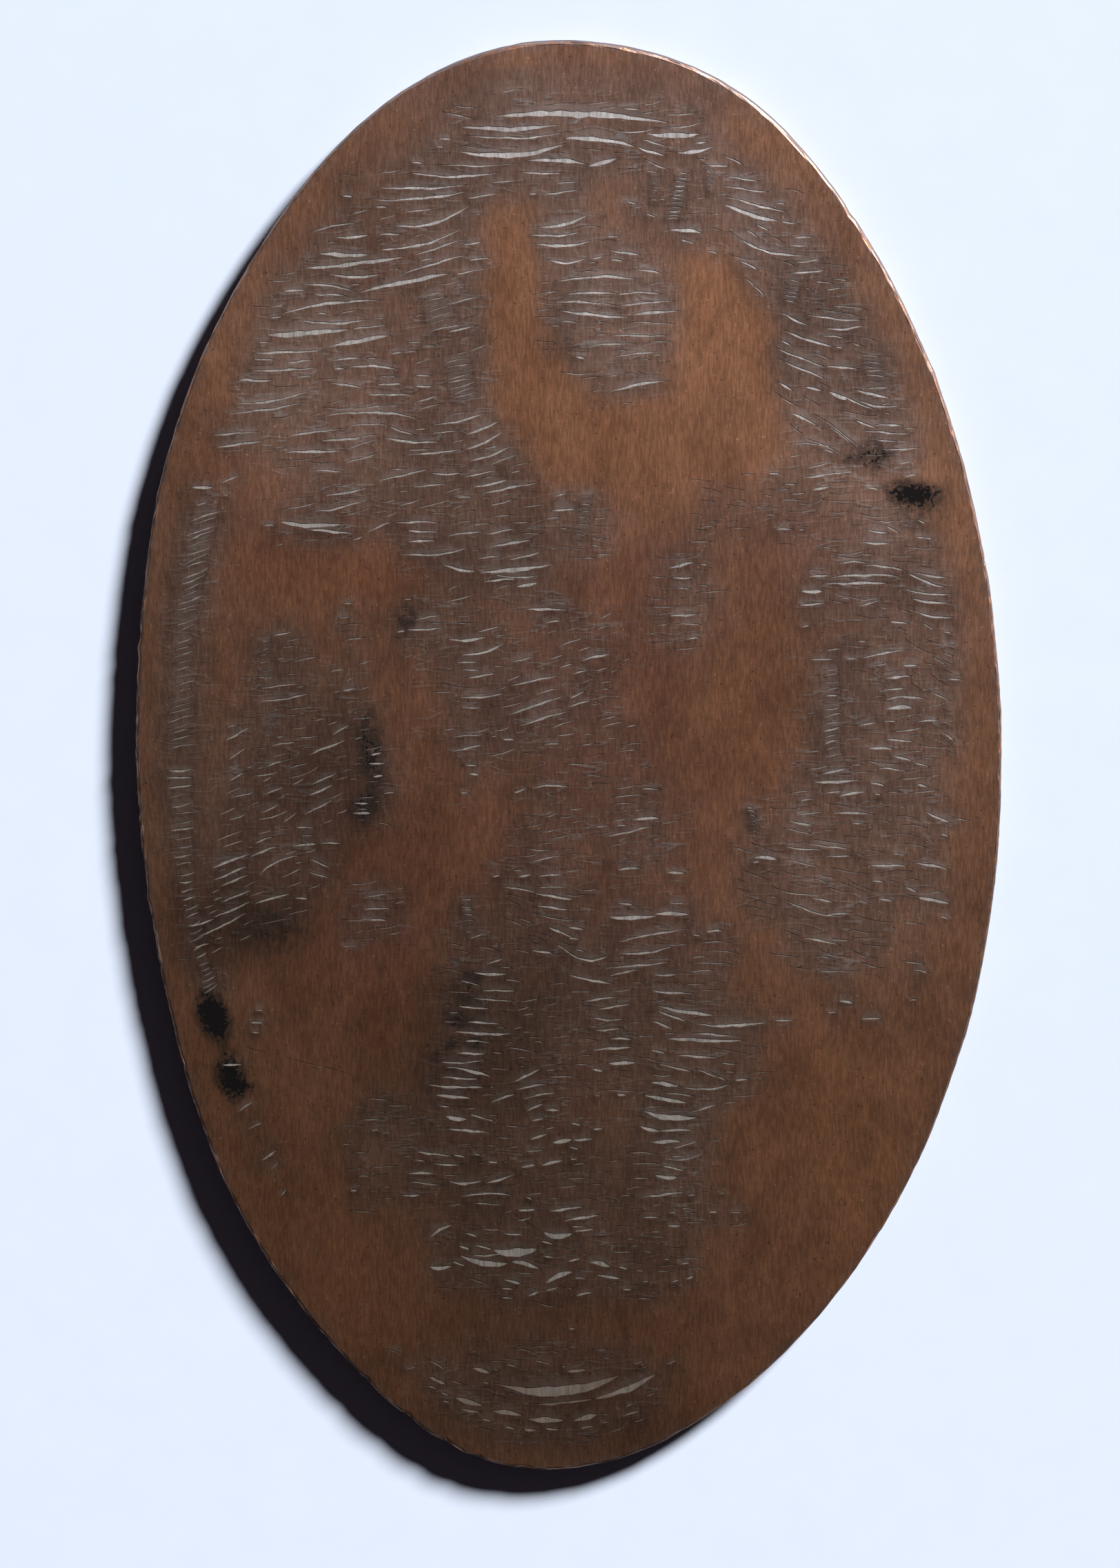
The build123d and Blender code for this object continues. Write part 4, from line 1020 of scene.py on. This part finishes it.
class Shader:
    """Short calls for building one material's nodes."""

    def __init__(self, name):
        self.material = bpy.data.materials.new(name)
        self.material.use_nodes = True
        self.tree = self.material.node_tree
        self.surface = next(n for n in self.tree.nodes if n.type == "BSDF_PRINCIPLED")
        self.object_place = self.tree.nodes.new("ShaderNodeTexCoord").outputs["Object"]

    def put(self, socket, value):
        """Links a node's output to a socket, or sets the socket's own value."""
        if hasattr(value, "is_linked"):
            self.tree.links.new(value, socket)
        else:
            socket.default_value = value

    def node(self, kind, settings=None, **inputs):
        """A new node; inputs are named by the socket, or i and its number."""
        made = self.tree.nodes.new(kind)
        for name, value in (settings or {}).items():
            setattr(made, name, value)
        for name, value in inputs.items():
            numbered = name[0] == "i" and name[1:].isdigit()
            self.put(made.inputs[int(name[1:]) if numbered else name], value)
        return made

    def math(self, operation, a, b=0.0, clamp=False):
        settings = {"operation": operation, "use_clamp": clamp}
        return self.node("ShaderNodeMath", settings, i0=a, i1=b).outputs[0]

    def times(self, a, b, clamp=False):
        return self.math("MULTIPLY", a, b, clamp)

    def plus(self, a, b):
        return self.math("ADD", a, b)

    def about(self, noise, strength):
        """A noise's swing either side of its middle, times a strength."""
        return self.times(self.math("SUBTRACT", noise, 0.5), strength)

    def mix(self, share, first, second):
        """A colour between two."""
        return self.node("ShaderNodeMix", {"data_type": "RGBA"}, i0=share, i6=first, i7=second).outputs[2]

    def cover(self, color, mask, share, over):
        """The color with up to a share of another over it, where the mask is."""
        return self.mix(self.times(mask, share), color, over)

    def blend(self, share, first, second):
        """A number between two."""
        return self.node("ShaderNodeMix", {"data_type": "FLOAT"}, i0=share, i2=first, i3=second).outputs[0]

    def toned(self, color, red, green, blue):
        """The color times three values."""
        tone = self.node("ShaderNodeCombineColor", None, Red=red, Green=green, Blue=blue)
        settings = {"data_type": "RGBA", "blend_type": "MULTIPLY"}
        return self.node("ShaderNodeMix", settings, i0=1.0, i6=color, i7=tone.outputs[0]).outputs[2]

    def bump(self, strength, height):
        """Sets the surface's fine relief."""
        made = self.node("ShaderNodeBump", None, Strength=strength, Distance=BUMP_HEIGHT, Height=height)
        self.put(self.surface.inputs["Normal"], made.outputs[0])

    def noise(self, per_mm, detail=2.0, roughness=0.5, seed=(0.0, 0.0, 0.0)):
        """Noise with so many features per mm along each axis."""
        place = self.node("ShaderNodeMapping", None, Vector=self.object_place,
                          Scale=tuple(value * 1000 for value in per_mm), Location=seed).outputs[0]
        made = self.node("ShaderNodeTexNoise", None, Vector=place, Scale=1.0, Detail=detail,
                         Roughness=roughness)
        return made.outputs[0]

    def ramp(self, value, low, high):
        """0 below low, 1 above high, smooth between."""
        settings = {"interpolation_type": "SMOOTHSTEP"}
        return self.node("ShaderNodeMapRange", settings, i0=value, i1=low, i2=high).outputs[0]

    def painted_light_falloff(self, color, share=1.0):
        """Painted shade: the color toned down along the token, most at its slim end and towards its left
        side, standing in for the key light falling off from the upper right.
        """
        place = self.node("ShaderNodeSeparateXYZ", None, Vector=self.object_place).outputs
        depth = self.plus(self.times(place[1], 32.0), self.times(place[0], 18.0))
        depth = self.times(self.math("SUBTRACT", depth, 0.515), share)
        rates = (1.0, 1.07, 1.2)
        return self.toned(color, *(self.math("EXPONENT", self.times(depth, rate)) for rate in rates))

    def layer(self, name):
        """The four values of a vertex colour."""
        attribute = self.node("ShaderNodeAttribute", {"attribute_name": name})
        split = self.node("ShaderNodeSeparateColor", None, Color=attribute.outputs["Color"])
        return split.outputs[0], split.outputs[1], split.outputs[2], attribute.outputs["Alpha"]


def copper_material():
    """Toned copper plating: grained and blotched, grey and wrinkled where it tore, worn pink at the rim,
    with painted shade below the tears and their wrinkles and towards the slim end.
    """
    s = Shader("torn_copper")
    grey, smear, carbon, lip = s.layer("marks")
    orange, red, worn, _ = s.layer("tints")
    glow, wrinkled, _, _ = s.layer("tones")
    fine = s.noise((34, 3.2, 34), 3, 0.6)
    weave = s.noise((0.75, 4.2, 0.75), 1.5, 0.5, (7, 5, 0))
    weave_below = s.noise((0.75, 4.2, 0.75), 1.5, 0.5, (7, 5.15, 0))
    grain = s.noise((19, 3.0, 19), 3, 0.6, (3, 7, 0))
    blotch = s.noise((4.5, 3.5, 4.5), 4, 0.65, (4, 3, 0))
    streak = s.noise((3.2, 0.22, 3), 2, 0.5, (11, 2, 0))
    cloud = s.noise((0.35, 0.25, 0.3), 3, 0.55, (5, 1, 0))
    mottle = s.noise((1.6, 1.3, 1.6), 4, 0.6, (1, 9, 0))
    speck = s.noise((15, 13, 15), 2, 0.5, (2, 4, 0))

    tone = s.plus(s.times(grey, 1.05), s.about(mottle, 0.7))
    tone = s.ramp(s.math("SUBTRACT", tone, s.times(orange, 0.55)), -0.35, 0.85)
    color = s.mix(tone, COPPER_ORANGE, COPPER_GREY)
    color = s.cover(color, s.ramp(cloud, 0.40, 0.75), 0.45, COPPER_BROWN)
    reddened = s.times(red, s.blend(s.ramp(mottle, 0.35, 0.65), 0.45, 1.0), clamp=True)
    color = s.mix(reddened, color, s.mix(tone, COPPER_RED, COPPER_MAROON))
    for noise, low, high, share, paint_over in [
            (grain, 0.62, 0.40, 0.08, COPPER_DARK), (blotch, 0.52, 0.30, 0.16, COPPER_DARK),
            (blotch, 0.55, 0.75, 0.12, COPPER_PALE), (fine, 0.56, 0.80, 0.22, COPPER_PALE),
            (streak, 0.55, 0.75, 0.08, COPPER_PALE)]:
        color = s.cover(color, s.ramp(noise, low, high), share, paint_over)
    ragged = s.times(smear, s.blend(0.5, 1.0, s.times(s.ramp(fine, 0.25, 0.7), 2.0)))
    smeared = s.ramp(ragged, 0.20, 1.10)
    color = s.cover(color, smeared, 0.20, SMEAR_GREY)

    # Fine wrinkles where tears crowd: a bright thread with a painted shadow line just below it
    broken = s.ramp(s.noise((1.6, 2.2, 1.6), 2, 0.5, (4, 4, 0)), 0.38, 0.62)
    crowd = s.ramp(s.plus(s.plus(grey, wrinkled), s.about(mottle, 0.6)), 0.15, 0.9)
    thread, thread_shadow = (s.ramp(s.math("ABSOLUTE", s.math("SUBTRACT", noise, 0.5)), wide, narrow)
                      for noise, wide, narrow in [(weave, 0.024, 0.004), (weave_below, 0.045, 0.010)])
    # Painted shadow: a dark line just below each thread
    color = s.cover(color, s.times(s.times(thread_shadow, crowd), broken), 0.26, COPPER_DARK)
    color = s.cover(color, s.times(s.times(thread, crowd), broken), 0.38, SMEAR_GREY)
    # Painted shade: a dark band along each tear's raised lower lip, on its side away from the light
    color = s.cover(color, s.ramp(lip, 0.3, 1.3), 0.35, COPPER_DARK)
    color = s.cover(color, s.ramp(speck, 0.68, 0.75), 0.75, COPPER_BRIGHT)
    color = s.cover(color, s.ramp(speck, 0.33, 0.27), 0.7, COPPER_DARK)
    uneven = s.blend(s.ramp(s.noise((0.9, 0.6, 0.9), 4, 0.6, (6, 6, 0)), 0.32, 0.68), 0.86, 1.14)
    brightness = s.times(glow, uneven)
    color = s.toned(color, brightness, brightness, brightness)

    # Worn rim, carbon stains, bare sides and carbon spots
    edge_wear = s.times(worn, s.ramp(s.noise((5, 5, 5), 3, 0.6, (8, 8, 0)), 0.32, 0.55), clamp=True)
    color = s.cover(color, edge_wear, 0.7, EDGE_PINK)
    stain = s.times(carbon, s.blend(s.ramp(blotch, 0.35, 0.62), 0.45, 1.5))
    color = s.cover(color, s.ramp(stain, 0.03, 0.60), 0.70, STAIN_DARK)
    normal = s.tree.nodes.new("ShaderNodeNewGeometry").outputs["Normal"]
    tilt = s.node("ShaderNodeSeparateXYZ", None, Vector=normal)
    side = s.ramp(s.math("ABSOLUTE", tilt.outputs[2]), 0.55, 0.15)
    color = s.cover(color, side, 0.9, WALL_GREY)
    spotted = s.ramp(s.plus(carbon, s.about(speck, 1.7)), 0.30, 0.85)
    color = s.mix(spotted, color, CARBON_BLACK)

    # Painted shade: darker towards the slim end and the left side, for the key light's falloff
    s.put(s.surface.inputs["Base Color"], s.painted_light_falloff(color))
    s.surface.inputs["Metallic"].default_value = 0.82
    rough = s.blend(s.ramp(grain, 0.3, 0.7), 0.36, 0.46)
    for mask, value in [(smeared, 0.42), (side, 0.85), (spotted, 0.75)]:
        rough = s.blend(mask, rough, value)
    s.put(s.surface.inputs["Roughness"], rough)
    height = s.plus(s.plus(s.times(fine, 0.5), s.times(grain, 0.9)), s.times(speck, 0.35))
    s.bump(0.28, s.plus(height, s.times(s.times(weave, crowd), 2.6)))
    return s.material


def zinc_material():
    """Bare rolled zinc, brightest in the widest tears."""
    s = Shader("torn_zinc")
    fine = s.noise((30, 2.0, 30), 3, 0.6)
    grain = s.noise((8, 0.8, 8), 3, 0.6, (3, 7, 0))
    mottle = s.noise((2.2, 1.2, 2), 3, 0.6, (6, 2, 0))
    shining = s.layer("tints")[3]
    color = s.mix(s.ramp(mottle, 0.3, 0.75), ZINC_PALE, ZINC_GREY)
    color = s.cover(color, s.ramp(fine, 0.56, 0.36), 0.30, ZINC_DARK)
    color = s.cover(color, s.ramp(grain, 0.50, 0.34), 0.28, ZINC_DARK)
    color = s.mix(s.ramp(shining, 0.05, 0.95), ZINC_STAINED, color)
    # Painted shade: the same falloff from the upper right as on the copper, a little weaker
    s.put(s.surface.inputs["Base Color"], s.painted_light_falloff(color, 0.85))
    s.surface.inputs["Metallic"].default_value = 0.85
    s.put(s.surface.inputs["Roughness"], s.blend(s.ramp(grain, 0.3, 0.7), 0.58, 0.72))
    s.bump(0.5, s.plus(s.times(fine, 0.6), grain))
    return s.material


def paper_material():
    """Plain pale paper."""
    s = Shader("pale_paper")
    fibre = s.noise((0.8, 0.8, 0.8), 4, 0.6)
    s.put(s.surface.inputs["Base Color"], s.mix(s.ramp(fibre, 0.2, 0.8), PAPER_LOW, PAPER_HIGH))
    s.surface.inputs["Roughness"].default_value = 0.95
    s.surface.inputs["Specular IOR Level"].default_value = 0.1
    return s.material


COPPER_ORANGE = (0.640, 0.300, 0.166, 1)
COPPER_GREY = (0.422, 0.262, 0.206, 1)
COPPER_BROWN = (0.413, 0.201, 0.127, 1)
COPPER_RED = (0.578, 0.243, 0.143, 1)
COPPER_MAROON = (0.412, 0.224, 0.173, 1)
COPPER_DARK = (0.13, 0.075, 0.050, 1)
EDGE_PINK = (0.36, 0.300, 0.295, 1)
WALL_GREY = (0.12, 0.104, 0.110, 1)
STAIN_DARK = (0.105, 0.082, 0.070, 1)
COPPER_PALE = (0.72, 0.480, 0.360, 1)
COPPER_BRIGHT = (0.95, 0.560, 0.400, 1)
SMEAR_GREY = (0.78, 0.740, 0.740, 1)
CARBON_BLACK = (0.012, 0.010, 0.011, 1)
ZINC_STAINED = (0.360, 0.255, 0.205, 1)
ZINC_PALE = (0.680, 0.655, 0.650, 1)
ZINC_GREY = (0.520, 0.495, 0.490, 1)
ZINC_DARK = (0.220, 0.200, 0.190, 1)
PAPER_LOW = (0.697, 0.782, 0.925, 1)
PAPER_HIGH = (0.715, 0.800, 0.945, 1)

zinc.data.materials.append(zinc_material())
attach(zinc, "root")
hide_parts("zinc_core")
plating.data.materials.append(copper_material())
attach(plating, "root")
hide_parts("copper_plating")

# ---------------------------------------------------------------- floor, light and camera
FLOOR_SIZE, FLOOR_GAP = 3.0, 0.00001
bpy.ops.mesh.primitive_plane_add(size=FLOOR_SIZE, location=(0, 0, -FLOOR_GAP))
floor = bpy.context.active_object
floor.name = "paper_floor"
floor.data.materials.append(paper_material())

world = bpy.data.worlds.new("studio")
bpy.context.scene.world = world
world.use_nodes = True
nodes, links = world.node_tree.nodes, world.node_tree.links
ambient = nodes["Background"]
ambient.inputs["Color"].default_value = (1.0, 0.70, 0.86, 1)
ambient.inputs["Strength"].default_value = 0.017
# The room beyond the paper is pale where it is seen directly, and adds no light
room = nodes.new("ShaderNodeBackground")
room.inputs["Color"].default_value = (0.80, 0.86, 0.95, 1)
room.inputs["Strength"].default_value = 0.95
seen = nodes.new("ShaderNodeLightPath")
either = nodes.new("ShaderNodeMixShader")
for k, output in enumerate([seen.outputs["Is Camera Ray"], ambient.outputs[0], room.outputs[0]]):
    links.new(output, either.inputs[k])
links.new(either.outputs[0], nodes["World Output"].inputs["Surface"])


def aim(thing, place, target, up=(0, 1, 0)):
    """Puts a light or camera at a place, looking at a target with up towards the top of its view."""
    back = (Vector(place) - Vector(target)).normalized()
    right = Vector(up).cross(back).normalized()
    turn = Matrix((right, back.cross(right), back)).transposed()
    thing.matrix_world = Matrix.Translation(place) @ turn.to_4x4()


def add_light(name, azimuth, elevation, distance, size, watts, color):
    """A round lamp at a direction in degrees from the token, aimed at it."""
    data = bpy.data.lights.new(name, "AREA")
    data.shape = "DISK"
    data.size, data.energy, data.color = size, watts, color
    lamp = bpy.data.objects.new(name, data)
    bpy.context.collection.objects.link(lamp)
    a, e = math.radians(azimuth), math.radians(elevation)
    place = Vector((math.cos(a) * math.cos(e), math.sin(a) * math.cos(e), math.sin(e))) * distance
    aim(lamp, place, (0, 0, 0))


add_light("key", azimuth=48, elevation=29.5, distance=2.0, size=0.467, watts=91.0, color=(1.0, 0.985, 0.985))

CAMERA_TILT = math.radians(7.0)
CAMERA_LEAN = math.radians(1.0)
CAMERA_DISTANCE = 0.30
VIEW_HEIGHT = 0.03796
SENSOR_HEIGHT = 24.0
target = Vector((-0.00021, -0.00057, BACK * MM))
camera_data = bpy.data.cameras.new("camera")
camera_data.sensor_fit = "VERTICAL"
camera_data.sensor_height = SENSOR_HEIGHT
camera_data.lens = SENSOR_HEIGHT * CAMERA_DISTANCE / VIEW_HEIGHT
camera_data.clip_start = 0.01
camera = bpy.data.objects.new("camera", camera_data)
bpy.context.collection.objects.link(camera)
bpy.context.scene.camera = camera
direction = Vector((math.sin(CAMERA_LEAN), math.sin(CAMERA_TILT), math.cos(CAMERA_TILT)))
aim(camera, target + direction * CAMERA_DISTANCE, target)
bpy.context.scene.view_settings.view_transform = "Standard"

bpy.context.view_layer.update()
